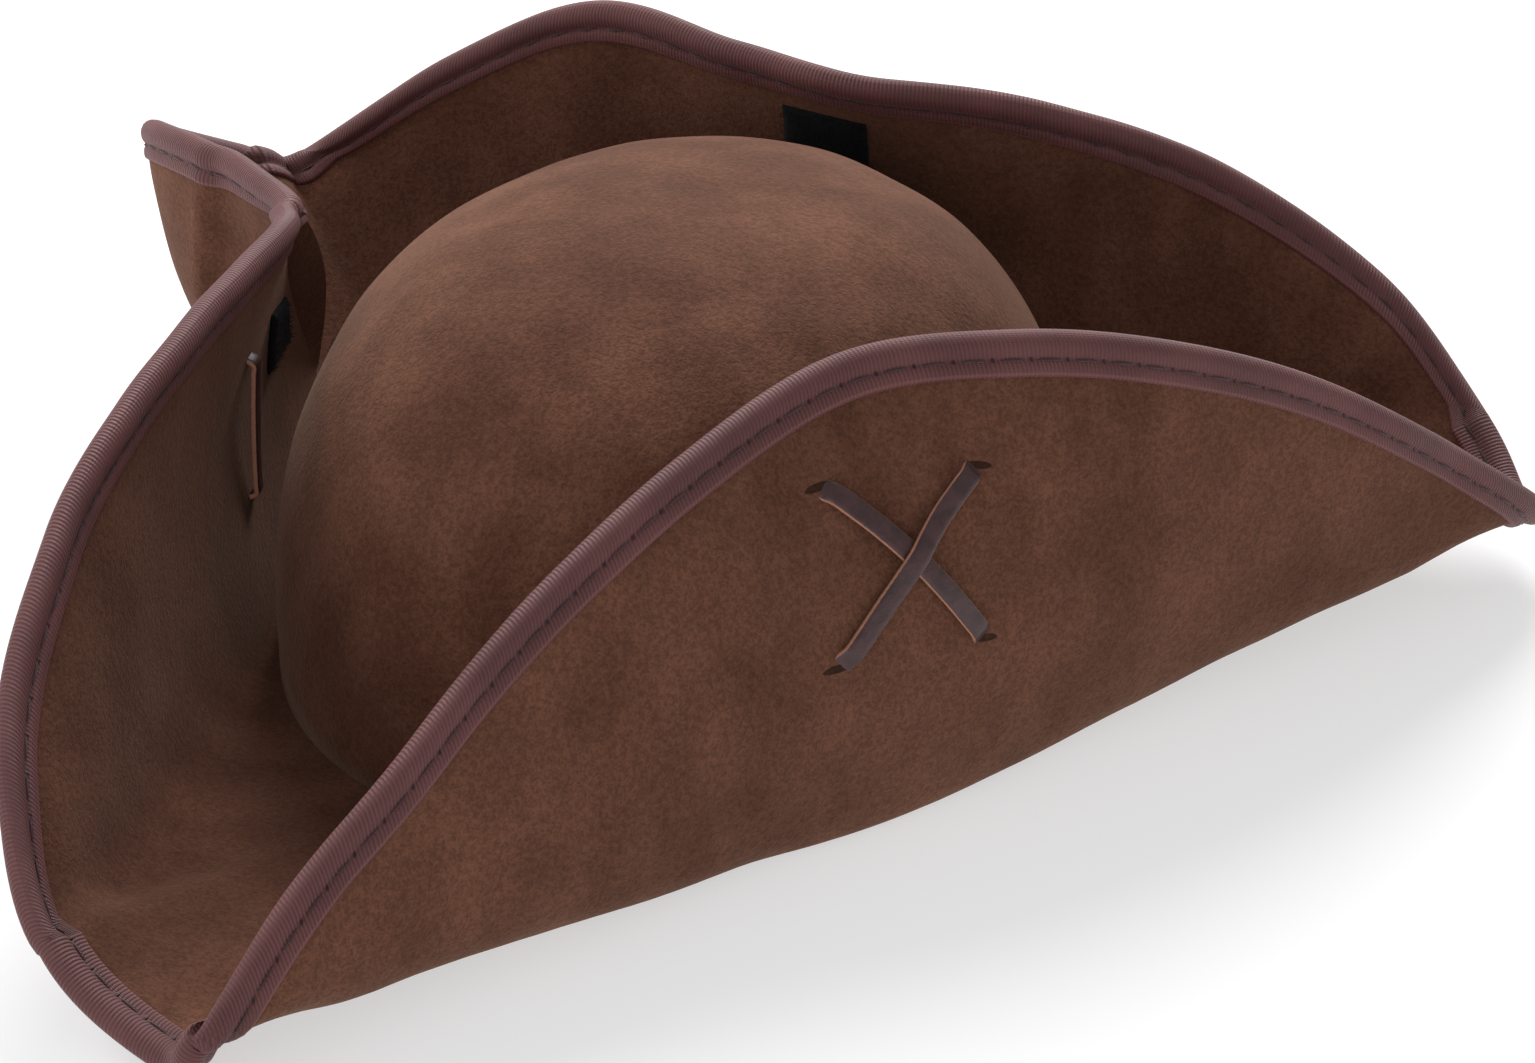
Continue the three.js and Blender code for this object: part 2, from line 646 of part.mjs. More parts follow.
function buildFlap(name) {
  const [first, last] = FLAP_SPAN[name];
  const from = (name === 'right' ? first + 0.05 : first + FLAP_END) + END_GAP;
  const stations = steps(from, last - FLAP_END - END_GAP, 2);
  const columns = stations.map((t) => withNormals(flapColumn, t));
  const cutter = name in LACES ? slitCutter(LACES[name]) : null;
  for (const [part, span] of Object.entries(BRIM_LAYERS)) {
    const material = part === 'stiffener' ? FINISH.buckram : FINISH.suede;
    const sheet = layer(columns, span, false);
    add(`${name}_flap_${part}`, cutter ? toGeometry(toSolid(sheet).subtract(cutter)) : sheet, material);
  }
  buildRim(`${name}_flap`, stations);
  add(`${name}_flap_loop_patch`, loopPatch(FASTENERS[name]), FINISH.hook);
  if (name in LACES) add(`${name}_flap_lace`, laceGeometry(LACES[name]), FINISH.leather);
}

// ---- Assembly -----------------------------------------------------------------------------------

add('crown_suede', crownShell(CROWN_LAYERS.suede), FINISH.suede);
add('crown_stiffener', crownShell(CROWN_LAYERS.stiffener), FINISH.buckram);
add('crown_lining', crownShell(CROWN_LAYERS.lining), FINISH.lining);
add('sweatband', sweatband(), FINISH.lining);
buildBase();
const shift = CORNER_SLOPE - FLAP_END;
buildRim('front_corner', cornerStations(FLAP_SPAN.right[1] + shift, COUNT + FLAP_SPAN.left[0] - shift));
buildRim('left_corner', cornerStations(FLAP_SPAN.left[1] + shift, FLAP_SPAN.rear[0] - shift));
buildRim('right_corner', cornerStations(FLAP_SPAN.rear[1] + shift, FLAP_SPAN.right[0] + 0.05 - CORNER_SLOPE));
for (const name of Object.keys(FOLDS)) {
  add(`crown_hook_patch_${name}`, hookPatch(FASTENERS[name]), FINISH.hook);
  buildFlap(name);
}

export default hat;
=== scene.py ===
"""Tricorn hat of faux suede: crown, turned-up brim, bound rim, laces and fasteners."""

import math
import random

import bpy
import numpy as np
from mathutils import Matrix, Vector, noise


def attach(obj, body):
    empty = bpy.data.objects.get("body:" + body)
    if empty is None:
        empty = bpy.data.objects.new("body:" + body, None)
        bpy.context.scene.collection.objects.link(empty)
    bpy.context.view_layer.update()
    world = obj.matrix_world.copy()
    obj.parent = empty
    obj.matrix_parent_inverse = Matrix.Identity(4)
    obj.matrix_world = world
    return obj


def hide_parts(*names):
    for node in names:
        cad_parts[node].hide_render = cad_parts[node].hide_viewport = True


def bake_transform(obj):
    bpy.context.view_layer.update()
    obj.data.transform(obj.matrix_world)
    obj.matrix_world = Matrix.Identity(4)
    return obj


bl_info = {
    "name": "Tricorn Hat",
    "version": (1, 0, 0),
    "blender": (4, 5, 0),
    "location": "3D View > Sidebar > Hat",
    "description": "Builds a three-cornered suede hat around its packed frame",
    "category": "Add Mesh",
}

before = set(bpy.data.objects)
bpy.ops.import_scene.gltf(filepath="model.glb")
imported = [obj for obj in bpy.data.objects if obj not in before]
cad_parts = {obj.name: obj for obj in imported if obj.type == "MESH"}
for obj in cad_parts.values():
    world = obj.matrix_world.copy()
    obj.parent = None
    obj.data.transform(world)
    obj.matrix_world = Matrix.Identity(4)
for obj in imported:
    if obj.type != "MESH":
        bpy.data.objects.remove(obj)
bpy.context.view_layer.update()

# ---- Shape of the hat, in millimetres ------------------------------------------------

CROWN_HALF_X = 88.0
CROWN_HALF_Y = 104.0
CROWN_HEIGHT = 105.0
CROWN_ROUNDNESS = 2.72
CROWN_FOOT = 2.6
MID_HEIGHT = 1.6
BRIM_SKIRT = 7.0
BRIM_START = 2.5
SHEET_HALF = 1.6
FOLD_STEEPNESS = math.radians(76)
RIM_CURL = 0.6
# Length of a flap's bend above its fold line, from which settle() works out an end point that nothing uses.
FLEX = 40.0
CROWN_WALL = 3.0
LINING_WALL = 0.8
LINING_GAP = 0.1
BAND_INSET = 6.3
BAND_LIFT = 1.2
# The rim tape's stitch line, as a distance behind the rim.
STITCH_LINE = 6.5
STITCH_PITCH = 8.5
SLIT_HALF_WIDTH = 2.7
SLIT_HALF_HEIGHT = 0.7
BODY = "crown_and_brim"
UP = np.array([0.0, 0.0, 1.0])

# The rim from corner to corner: a name where one is needed, the bearing from the crown's
# middle in degrees, the distance out and the height. The ends of a flap are its fold's ends.
RIM_STATIONS = [
    ("front_corner", -95, 210, 6),
    ("left_start",), (None, -90, 188, 37), (None, -86, 165, 55), (None, -80, 133, 75),
    (None, -67, 98, 91), (None, -42, 77, 101), (None, -17, 90, 101), (None, -1, 112, 93),
    (None, 11, 138, 77), (None, 20, 167, 53), ("left_end",),
    ("left_corner", 33, 201, 15),
    ("rear_start",), (None, 48, 184, 53), (None, 57, 153, 79), (None, 66, 116, 96),
    (None, 86, 90, 102), (None, 106, 99, 104), (None, 123, 126, 105), (None, 136, 151, 85),
    ("rear_end",),
    ("right_corner", 150, 182, 58),
    (None, 158, 182, 71), (None, 163, 164, 81), (None, 168, 130, 86),
    ("pinch", 179, 99, 88), (None, -166, 90, 93), (None, -143, 104, 93), (None, -129, 129, 87),
    (None, -121, 156, 73), (None, -113, 186, 47), ("right_end",),
]
# Where each flap's fold line starts and ends.
FOLD_ENDS = {
    "left": ((-8, -213, 16), (175, 96, 21)),
    "rear": ((155, 123, 27), (-149, 99, 55)),
    "right": ((-111, 33, 24), (-49, -198, 18)),
}
# Pulls the fold of the rolled right corner outwards, between the corner and the right fold.
CURL_CONTROL = np.array([-172.0, 42.0, 28.0])
COUNT = len(RIM_STATIONS)
# Each lace's cross: its middle as a place on the rim and part of the flap's height, half
# its width, half its height, and the degrees it is turned on the flap.
LACES = {
    "left": ((6.06, 0.50), 18.5, 19.0, -8.5),
    "right": ((27.7, 0.35), 19.0, 18.0, 0.0),
}
# Each fastener's middle as a place on the rim and part of the flap's height, and half its width.
FASTENERS = {
    "left": ((6.1, 0.68), 10.5),
    "rear": ((17.3, 0.60), 10.5),
    "right": ((26.5, 0.50), 8.5),
}


def unit(v):
    return v / max(np.linalg.norm(v), 1e-9)


def smooth(x):
    x = np.clip(x, 0.0, 1.0)
    return x * x * (3 - 2 * x)


def crown_reach(bearing):
    """Distance from the crown's middle to its foot in a direction."""
    return 1 / math.hypot(math.cos(bearing) / CROWN_HALF_X, math.sin(bearing) / CROWN_HALF_Y)


def polar(bearing, reach, z):
    return np.array([reach * math.cos(bearing), reach * math.sin(bearing), z])


class Fold:
    """A straight fold line of the brim, and the way its flap rises from it.

    The rise leans in far enough that a corner named as still lies level with the fold."""

    def __init__(self, name, still=None):
        self.a, self.b = (np.array(p, float) for p in FOLD_ENDS[name])
        self.along = unit(self.b - self.a)
        self.length = np.linalg.norm(self.b - self.a)
        self.out = unit(np.array([self.along[1], -self.along[0], 0.0]))
        rise = unit(UP - self.along * (UP @ self.along))
        lean = 0.0
        if still is not None:
            arm = polar(math.radians(still[1]), *still[2:]) - self.a
            lean = math.atan2(arm @ rise, arm @ self.out)
        self.lift = rise * math.cos(lean) - self.out * math.sin(lean)


FOLDS = {
    "left": Fold("left"),
    "rear": Fold("rear"),
    "right": Fold("right", next(s for s in RIM_STATIONS if s[0] == "right_corner")),
}


def station_number(label):
    return next(i for i, s in enumerate(RIM_STATIONS) if s[0] == label)


def station_point(entry):
    """Place of a rim station, which is a fold's end where it has no place of its own."""
    if len(entry) == 4:
        return polar(math.radians(entry[1]), entry[2], entry[3])
    fold, end = entry[0].split("_")
    return FOLDS[fold].a if end == "start" else FOLDS[fold].b


RIM = [station_point(s) for s in RIM_STATIONS]
SPANS = {
    "left": (station_number("left_start"), station_number("left_end")),
    "rear": (station_number("rear_start"), station_number("rear_end")),
    "right": (station_number("pinch"), station_number("right_end")),
}
TIPS = [RIM[station_number(c)] for c in ("front_corner", "left_corner", "right_corner")]
CURL = (station_number("right_corner"), station_number("pinch"))


def catmull_rom(p, q, r, s, f):
    """Point at a part of the way from q to r, on the curve through all four."""
    square = (2 * p - 5 * q + 4 * r - s) * f**2
    cube = (3 * q - p - 3 * r + s) * f**3
    return 0.5 * (2 * q + (r - p) * f + square + cube)


def rim_at(t):
    """Point of the rim at a place counted in stations."""
    i = int(math.floor(t))
    return catmull_rom(*(RIM[(i + k) % COUNT] for k in (-1, 0, 1, 2)), t - i)


def floor_height(x, y):
    """Height of the brim's floor, which climbs from the crown toward each corner."""
    z = MID_HEIGHT
    for tip in TIPS:
        reach = math.hypot(tip[0], tip[1])
        foot = crown_reach(math.atan2(tip[1], tip[0]))
        part = ((x * tip[0] + y * tip[1]) / reach - foot) / (reach - foot)
        if part > 0:
            z += (tip[2] - MID_HEIGHT) * part**1.25
    return z


def base_curve(fold, out):
    """Cubic from the crown to a fold point, which leaves the crown flat."""
    bearing = math.atan2(fold[1], fold[0])
    inner = crown_reach(bearing) + BRIM_START
    outer = math.hypot(fold[0], fold[1])
    reach = inner + 0.5 * (outer - inner)
    limit = 1e9
    if out is not None:
        rise = max(fold[2] - floor_height(fold[0], fold[1]), 2)
        facing = max(math.cos(bearing) * out[0] + math.sin(bearing) * out[1], 0.2)
        least = inner + 0.3 * (outer - inner)
        wanted = outer - rise / (facing * math.tan(FOLD_STEEPNESS))
        reach = min(0.5 * (least + wanted + math.hypot(wanted - least, 3)), outer - 1)
        limit = fold[2] - 0.5
    corner = polar(bearing, reach, 0)
    corner[2] = min(floor_height(corner[0], corner[1]), limit)
    start = polar(bearing, inner, MID_HEIGHT)
    return np.array([start, start + 0.75 * (corner - start), fold + 0.75 * (corner - fold), fold])


def curl_fold(part):
    """Point on the curved fold of the rolled right corner."""
    a, c, b = TIPS[2], CURL_CONTROL, FOLDS["right"].a
    return a * (1 - part) ** 2 + 2 * c * part * (1 - part) + b * part**2


def fold_at(t, rim):
    """Fold point, fold direction and outward direction for a place on the rim."""
    for name, (first, last) in SPANS.items():
        if first <= t <= last:
            fold = FOLDS[name]
            run = min(max((rim - fold.a) @ fold.along, 0), fold.length)
            if name == "right":
                run *= smooth((t - first) / 0.85)
            return fold.a + fold.along * run, fold.along, fold.out
    if not CURL[0] < t < CURL[1]:
        return None
    part = (t - CURL[0]) / (CURL[1] - CURL[0])
    along = unit(curl_fold(min(part + 0.01, 1)) - curl_fold(max(part - 0.01, 0)))
    return curl_fold(part), along, unit(np.array([along[1], -along[0], 0.0]))


def bezier(curve, steps):
    """Points along a cubic with four controls."""
    v = np.linspace(0, 1, steps + 1)[:, None]
    a, b, c, d = curve
    return a * (1 - v) ** 3 + 3 * b * v * (1 - v) ** 2 + 3 * c * v**2 * (1 - v) + d * v**3


def spaced(points, count):
    """Points spaced evenly along a polyline."""
    run = np.concatenate([[0], np.cumsum(np.linalg.norm(np.diff(points, axis=0), axis=1))])
    where = np.linspace(0, run[-1], count + 1)
    return np.stack([np.interp(where, run, points[:, k]) for k in range(3)], 1)


def section(t):
    """Polylines of the base and the flap at a place on the rim."""
    rim = rim_at(t)
    fold = fold_at(t, rim)
    if fold is None:
        return bezier(base_curve(rim, None), 40), None
    point, along, out = fold
    across = rim - point
    across = across - along * (across @ along)
    size = np.linalg.norm(across)
    settled = smooth(size / 30)
    base = (1 - settled) * base_curve(point, None) + settled * base_curve(point, out)
    if size < 0.5:
        return bezier(base, 40), None
    leaving = base[3] - base[2]
    leaving = unit(leaving - along * (leaving @ along))
    lean = math.atan2(across[2], across @ out)
    start = math.atan2(leaving[2], leaving @ out)
    end = lean + RIM_CURL * (lean - start)
    arriving = out * math.cos(end) + UP * math.sin(end)
    curled = smooth((t - CURL[0]) / 0.6) * smooth((CURL[1] - t) / 1.2)
    handle = (0.35 - 0.2 * curled) * size
    flap = np.array([point, point + leaving * handle, rim - arriving * handle, rim])
    return bezier(base, 40), bezier(flap, 40)


def ripple(point):
    """Height of the sheet's slow unevenness at a point, in millimetres."""
    p = Vector(point)
    return 1.1 * noise.noise(p / 55) + 0.45 * noise.noise(p / 21 + Vector((7, 3, 1)))


class Brim:
    """The middle of the brim's sheets as a grid: one column for each place on the rim."""

    STEP = 0.05
    BASE_ROWS = 22
    FLAP_ROWS = 30
    SHEET_END = 3.6

    def __init__(self):
        self.places = np.arange(int(round(COUNT / self.STEP))) * self.STEP
        columns = []
        for t in self.places:
            base, flap = section(t)
            rows = spaced(base, self.BASE_ROWS)
            if flap is None:
                rest = np.repeat(base[-1:], self.FLAP_ROWS, 0)
            else:
                rest = spaced(flap, self.FLAP_ROWS)[1:]
            columns.append(np.concatenate([rows, rest]))
        self.points = np.array(columns)
        self.normals = self.find_normals()
        calm = smooth(np.arange(self.points.shape[1]) / 8)
        lift = np.array([[ripple(p) for p in column] for column in self.points]) * calm
        self.points = self.points + self.normals * lift[:, :, None]
        self.normals = self.find_normals()
        edge = np.linalg.norm(np.diff(self.points, axis=1), axis=2)[:, ::-1]
        self.behind = np.concatenate([np.zeros((len(edge), 1)), np.cumsum(edge, axis=1)], 1)
        rim = self.points[:, -1]
        steps = np.linalg.norm(np.roll(rim, -1, 0) - rim, axis=1)
        self.along = np.concatenate([[0], np.cumsum(steps)])

    def find_normals(self):
        """Directions square to the sheet at each grid point, toward the crown and evened out."""
        p = self.points
        along = np.roll(p, -1, 0) - np.roll(p, 1, 0)
        up = np.empty_like(p)
        for i, column in enumerate(p):
            last = np.array([1.0, 0, 0])
            for j in range(len(column)):
                step = column[min(j + 1, len(column) - 1)] - column[max(j - 1, 0)]
                if np.linalg.norm(step) > 1e-3:
                    last = unit(step)
                up[i, j] = last
        normal = np.cross(up, along)
        for _ in range(2):
            normal /= np.maximum(np.linalg.norm(normal, axis=2, keepdims=True), 1e-9)
            normal = normal + 0.5 * (np.roll(normal, 1, 0) + np.roll(normal, -1, 0))
        return normal / np.maximum(np.linalg.norm(normal, axis=2, keepdims=True), 1e-9)

    def on_flap(self, t, v, offset):
        """A point at a place on the rim and a part of the flap's height, off the middle."""
        u = (t / self.STEP) % len(self.places)
        i, f = int(u), u - int(u)
        w = self.BASE_ROWS + min(max(v, 0), 1) * self.FLAP_ROWS
        j = min(int(w), self.points.shape[1] - 2)
        g = w - j
        nxt = (i + 1) % len(self.places)

        def mixed(grid):
            low = grid[i, j] * (1 - f) + grid[nxt, j] * f
            high = grid[i, j + 1] * (1 - f) + grid[nxt, j + 1] * f
            return low * (1 - g) + high * g

        return mixed(self.points) + unit(mixed(self.normals)) * offset, unit(mixed(self.normals))

    def beside(self, centre, across, up, offset):
        """A point some millimetres along and up a flap from a place on it."""
        t, v = centre
        wide = np.linalg.norm(self.on_flap(t + 0.2, v, 0)[0] - self.on_flap(t - 0.2, v, 0)[0]) / 0.4
        tall = np.linalg.norm(self.on_flap(t, v + 0.1, 0)[0] - self.on_flap(t, v - 0.1, 0)[0]) / 0.2
        return self.on_flap(t + across / wide, v + up / tall, offset)

    def behind_rim(self, i, distance):
        """Point and normal of a column at a distance back from the rim."""
        i %= len(self.places)
        run = self.behind[i]
        column, normals = self.points[i, ::-1], self.normals[i, ::-1]
        point = np.array([np.interp(distance, run, column[:, k]) for k in range(3)])
        normal = np.array([np.interp(distance, run, normals[:, k]) for k in range(3)])
        return point, unit(normal)

    def sheet_rows(self, i, rows):
        """Points and normals of some rows of a column, held back from the rim."""
        points, normals = self.points[i, rows].copy(), self.normals[i, rows].copy()
        behind = self.behind[i, ::-1][rows]
        end = self.behind_rim(i, self.SHEET_END)
        for k in np.nonzero(behind < self.SHEET_END)[0]:
            points[k], normals[k] = end
        return points, normals

    def run(self, i):
        """Length of the rim from its first place to a column."""
        turns, rest = divmod(i, len(self.places))
        return turns * self.along[-1] + self.along[rest]

    def columns(self, first, last):
        """Columns between two places on the rim, both included."""
        return range(int(round(first / self.STEP)), int(round(last / self.STEP)) + 1)


BRIM = Brim()

# ---- Meshes ---------------------------------------------------------------------------


def new_object(name, points, faces, materials, sharp=None):
    """A mesh object from points in millimetres, with edges over an angle left sharp."""
    mesh = bpy.data.meshes.new(name)
    mesh.from_pydata([tuple(float(c) / 1000 for c in p) for p in points], [], faces)
    mesh.validate()
    mesh.shade_smooth()
    if sharp:
        mesh.set_sharp_from_angle(angle=math.radians(sharp))
    for material in materials:
        mesh.materials.append(material)
    obj = bpy.data.objects.new(name, mesh)
    bpy.context.scene.collection.objects.link(obj)
    return obj


def settle(obj, flap):
    """Joins a piece to the body it moves with, or, for a piece of a flap, bakes it in place; the ends of
    the flap's bend are worked out but not used.
    """
    if flap:
        fold = FOLDS[flap]
        start, end = fold.a, fold.a + fold.lift * FLEX
        tuple(start / 1000)
        tuple(end / 1000)
        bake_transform(obj)
    else:
        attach(obj, BODY)
    return obj


def strip_faces(columns, rows, ring=False, close_rows=False, caps=False):
    """Faces over a grid of columns, each a run of points."""
    faces = []
    at = lambda i, k: (i % columns) * rows + (k % rows)
    for i in range(columns if ring else columns - 1):
        for k in range(rows if close_rows else rows - 1):
            faces.append((at(i, k), at(i, k + 1), at(i + 1, k + 1), at(i + 1, k)))
    if caps:
        faces.append(tuple(at(0, k) for k in reversed(range(rows))))
        faces.append(tuple(at(columns - 1, k) for k in range(rows)))
    return faces


def sheet_loop(points, normals):
    """Closed outline of a sheet's section: up its crown side and down its outer side."""
    inner = points + normals * SHEET_HALF
    outer = points - normals * SHEET_HALF
    return np.concatenate([inner, outer[::-1]])


def name_points(obj, name, values):
    """Stores a value on each point, for a material to read."""
    layer = obj.data.attributes.new(name, "FLOAT", "POINT")
    layer.data.foreach_set("value", np.asarray(values, np.float32))


# ---- Materials ------------------------------------------------------------------------


class Wire:
    """A shader socket that takes part in sums with numbers and other wires."""

    def __init__(self, graph, socket):
        self.graph = graph
        self.socket = socket

    def _sum(self, operation, a, b=None):
        sockets = {0: a} if b is None else {0: a, 1: b}
        return self.graph.node("ShaderNodeMath", {"operation": operation}, sockets)

    def __add__(self, other):
        return self._sum("ADD", self, other)

    __radd__ = __add__

    def __sub__(self, other):
        return self._sum("SUBTRACT", self, other)

    def __rsub__(self, other):
        return self._sum("SUBTRACT", other, self)

    def __mul__(self, other):
        return self._sum("MULTIPLY", self, other)

    __rmul__ = __mul__

    def sine(self):
        return self._sum("SINE", self)

    def size(self):
        return self._sum("ABSOLUTE", self)

    def most(self, other):
        return self._sum("MAXIMUM", self, other)


class Graph:
    """Nodes of one material around its Principled shader."""

    def __init__(self, name, **fixed):
        self.material = bpy.data.materials.new(name)
        self.material.use_nodes = True
        self.tree = self.material.node_tree
        self.shader = self.tree.nodes["Principled BSDF"]
        for socket, value in fixed.items():
            self.shader.inputs[socket.replace("_", " ")].default_value = value

    def node(self, kind, settings=None, sockets=None, out=0):
        made = self.tree.nodes.new(kind)
        for key, value in (settings or {}).items():
            setattr(made, key, value)
        for key, value in (sockets or {}).items():
            if isinstance(value, Wire):
                self.tree.links.new(value.socket, made.inputs[key])
            else:
                made.inputs[key].default_value = value
        return Wire(self, made.outputs[out])

    def place(self):
        return self.node("ShaderNodeTexCoord", out="Object")

    def cloud(self, scale, detail=3.0, roughness=0.5, where=None):
        return self.node(
            "ShaderNodeTexNoise", {"noise_dimensions": "3D"},
            {"Vector": where or self.place(), "Scale": scale, "Detail": detail, "Roughness": roughness},
        )

    def between(self, wire, low, high, to_low=0.0, to_high=1.0):
        """A wire's rise from one number to another, eased at both ends."""
        return self.node(
            "ShaderNodeMapRange", {"interpolation_type": "SMOOTHSTEP"},
            {"Value": wire, "From Min": low, "From Max": high, "To Min": to_low, "To Max": to_high},
        )

    def mix(self, factor, a, b, blend="MIX"):
        return self.node(
            "ShaderNodeMix", {"data_type": "RGBA", "blend_type": blend},
            {"Factor": factor, 6: a, 7: b}, out=2,
        )

    def feed(self, socket, wire):
        self.tree.links.new(wire.socket, self.shader.inputs[socket])

    def bump(self, height, distance, strength=1.0):
        sockets = {"Height": height, "Distance": distance, "Strength": strength}
        self.feed("Normal", self.node("ShaderNodeBump", None, sockets))


def rgba(color, scale=1.0):
    """A colour made lighter or darker, with full opacity."""
    return tuple(c * scale for c in color[:3]) + (1.0,)


def colours():
    return bpy.context.scene.hat_colours


# A shade below 1 makes a darker copy of the suede; the slits use one at 0.3 as painted shade.
def suede(name="napped_suede", shade=1.0):
    """Napped faux suede: cloudy patches where the nap lies down, and a fine grain."""
    if name in bpy.data.materials:
        return bpy.data.materials[name]
    look = colours()
    g = Graph(name, Roughness=0.95, Sheen_Weight=0.22, Sheen_Roughness=0.45,
              Sheen_Tint=rgba((0.62, 0.40, 0.30)), Specular_IOR_Level=0.12)
    warp = g.node("ShaderNodeMapping", None, {"Vector": g.place(), "Scale": (1.0, 1.0, 0.72)})
    broad = g.between(g.cloud(17, 4, 0.6, warp), 0.36, 0.66)
    brushed = g.between(g.cloud(70, 3, 0.55, warp), 0.35, 0.68)
    grain = g.cloud(720, 2, 0.6)
    fine = g.cloud(1700, 1, 0.5)
    tone = g.mix(broad * 0.62 + brushed * 0.38, rgba(look.suede_dark, shade), rgba(look.suede_light, shade))
    speck = g.between(grain * 0.55 + fine * 0.45, 0.32, 0.68)
    nap = g.mix(speck, (0.66, 0.64, 0.63, 1), (1.24, 1.25, 1.26, 1))
    g.feed("Base Color", g.mix(0.85, tone, nap, "MULTIPLY"))
    g.bump(grain * 0.6 + fine * 0.4, 0.00055, 0.7)
    return g.material


def grosgrain():
    """Ribbed binding tape with a stitch line pulled into it, and painted shade in its stitch groove and
    stitch holes.
    """
    if "grosgrain" in bpy.data.materials:
        return bpy.data.materials["grosgrain"]
    look = colours()
    g = Graph("grosgrain", Roughness=0.62, Sheen_Weight=0.18, Sheen_Roughness=0.35,
              Sheen_Tint=rgba((0.7, 0.5, 0.5)), Specular_IOR_Level=0.32)
    along = g.node("ShaderNodeAttribute", {"attribute_name": "along_mm"}, out="Fac")
    down = g.node("ShaderNodeAttribute", {"attribute_name": "behind_mm"}, out="Fac")
    wander = g.cloud(160, 2) * 0.5
    rib = ((along + wander) * (2 * math.pi / 0.95)).sine() * 0.5 + 0.5
    weave = (down * (2 * math.pi / 0.42)).sine() * 0.5 + 0.5
    hole_u = g.node("ShaderNodeMath", {"operation": "PINGPONG"}, {0: along, 1: STITCH_PITCH / 2})
    from_line = (down - STITCH_LINE).size()
    hole_and_shade = g.between(hole_u, 0.0, 0.75, 1.0, 0.0) * g.between(from_line, 0.15, 0.75, 1.0, 0.0)
    groove_and_shade = g.between(from_line, 0.1, 0.9, 1.0, 0.0)
    edge = g.between((down - 9.5).size(), 0.1, 0.5, 1.0, 0.0)
    worn = g.between(g.cloud(60, 3), 0.3, 0.7)
    tone = g.mix(rib * 0.55 + worn * 0.45, rgba(look.tape, 0.72), rgba(look.tape, 1.22))
    tone = g.mix(edge * 0.45, tone, rgba(look.tape, 1.9))
    # Painted shade: the tape darkened along its stitch groove.
    tone = g.mix(groove_and_shade * 0.35, tone, rgba(look.tape, 0.45))
    # Painted shade: nearly black dots at the stitch holes.
    g.feed("Base Color", g.mix(hole_and_shade * 0.9, tone, rgba(look.tape, 0.12)))
    g.bump(rib * 0.8 + weave * 0.2 - hole_and_shade * 2.0 - groove_and_shade * 0.5, 0.00028, 0.8)
    return g.material


def lace_leather():
    """Smooth waxed leather whose cut edges show paler."""
    if "waxed_lace" in bpy.data.materials:
        return bpy.data.materials["waxed_lace"]
    look = colours()
    g = Graph("waxed_lace", Specular_IOR_Level=0.5)
    side = g.node("ShaderNodeAttribute", {"attribute_name": "raw_edge"}, out="Fac")
    pores = g.cloud(1400, 3, 0.6)
    folds = g.between(g.cloud(260, 3, 0.6), 0.3, 0.7)
    raw = g.between(side + (pores - 0.5) * 0.5, 0.45, 0.7)
    grained = g.mix(folds, rgba(look.lace, 0.7), rgba(look.lace, 1.35))
    cut = g.mix(pores, rgba(look.raw_leather, 0.7), rgba(look.raw_leather, 1.2))
    g.feed("Base Color", g.mix(raw, grained, cut))
    g.feed("Roughness", g.between(raw + folds * 0.25, 0.0, 1.0, 0.36, 0.8))
    g.bump(pores * 0.6 + folds * 0.4, 0.00025, 0.6)
    return g.material


def plain_cloth(name, color, scale, roughness, sheen=0.2):
    """Woven cloth: fine crossing threads and a little unevenness."""
    if name in bpy.data.materials:
        return bpy.data.materials[name]
    g = Graph(name, Roughness=roughness, Sheen_Weight=sheen, Specular_IOR_Level=0.3)
    parts = g.tree.nodes.new("ShaderNodeSeparateXYZ")
    g.tree.links.new(g.place().socket, parts.inputs[0])
    x, y, z = (Wire(g, parts.outputs[k]) for k in range(3))
    warp = ((x + z * 0.6) * (2 * math.pi * scale)).sine() * 0.5 + 0.5
    weft = ((y + z * 0.8) * (2 * math.pi * scale)).sine() * 0.5 + 0.5
    cloth = warp.most(weft)
    cloudy = g.between(g.cloud(45, 3), 0.3, 0.7)
    g.feed("Base Color", g.mix(cloth * 0.5 + cloudy * 0.5, rgba(color, 0.6), rgba(color, 1.35)))
    g.bump(cloth + g.cloud(900, 2) * 0.4, 0.0002, 0.6)
    return g.material


def fuzzy_pile():
    """Black tangled pile of the hook-and-loop fasteners."""
    if "fuzzy_pile" in bpy.data.materials:
        return bpy.data.materials["fuzzy_pile"]
    g = Graph("fuzzy_pile", Roughness=0.9, Sheen_Weight=0.03, Sheen_Roughness=0.5, Specular_IOR_Level=0.15)
    tangle = g.cloud(1600, 3, 0.7)
    color = rgba(colours().fastener)
    g.feed("Base Color", g.mix(g.between(tangle, 0.35, 0.65), rgba(color, 0.4), rgba(color, 1.8)))
    g.bump(tangle, 0.0006, 1.0)
    return g.material


# ---- Properties ----------------------------------------------------------------------------


def colour(name, description, default):
    return bpy.props.FloatVectorProperty(
        name=name, description=description, default=default, min=0, max=1, size=3, subtype="COLOR")


class HatColours(bpy.types.PropertyGroup):
    """Colours of the hat's finishes."""

    suede_dark: colour("Suede dark", "Suede where the nap is brushed away", (0.084, 0.033, 0.0195))
    suede_light: colour("Suede light", "Suede where the nap stands up", (0.140, 0.060, 0.037))
    tape: colour("Rim tape", "Grosgrain that binds the rim", (0.118, 0.040, 0.040))
    thread: colour("Thread", "Sewing thread of the rim tape", (0.052, 0.016, 0.017))
    lace: colour("Lace", "Smooth face of the leather lace", (0.045, 0.016, 0.017))
    raw_leather: colour("Raw leather", "Cut edges of the leather lace", (0.42, 0.19, 0.12))
    fastener: colour("Fastener", "Hook-and-loop patches", (0.004, 0.004, 0.005))
    lining: colour("Lining", "Lining and sweatband", (0.020, 0.014, 0.013))
    floor: colour("Floor", "Table that the hat lies on", (0.45, 0.45, 0.455))


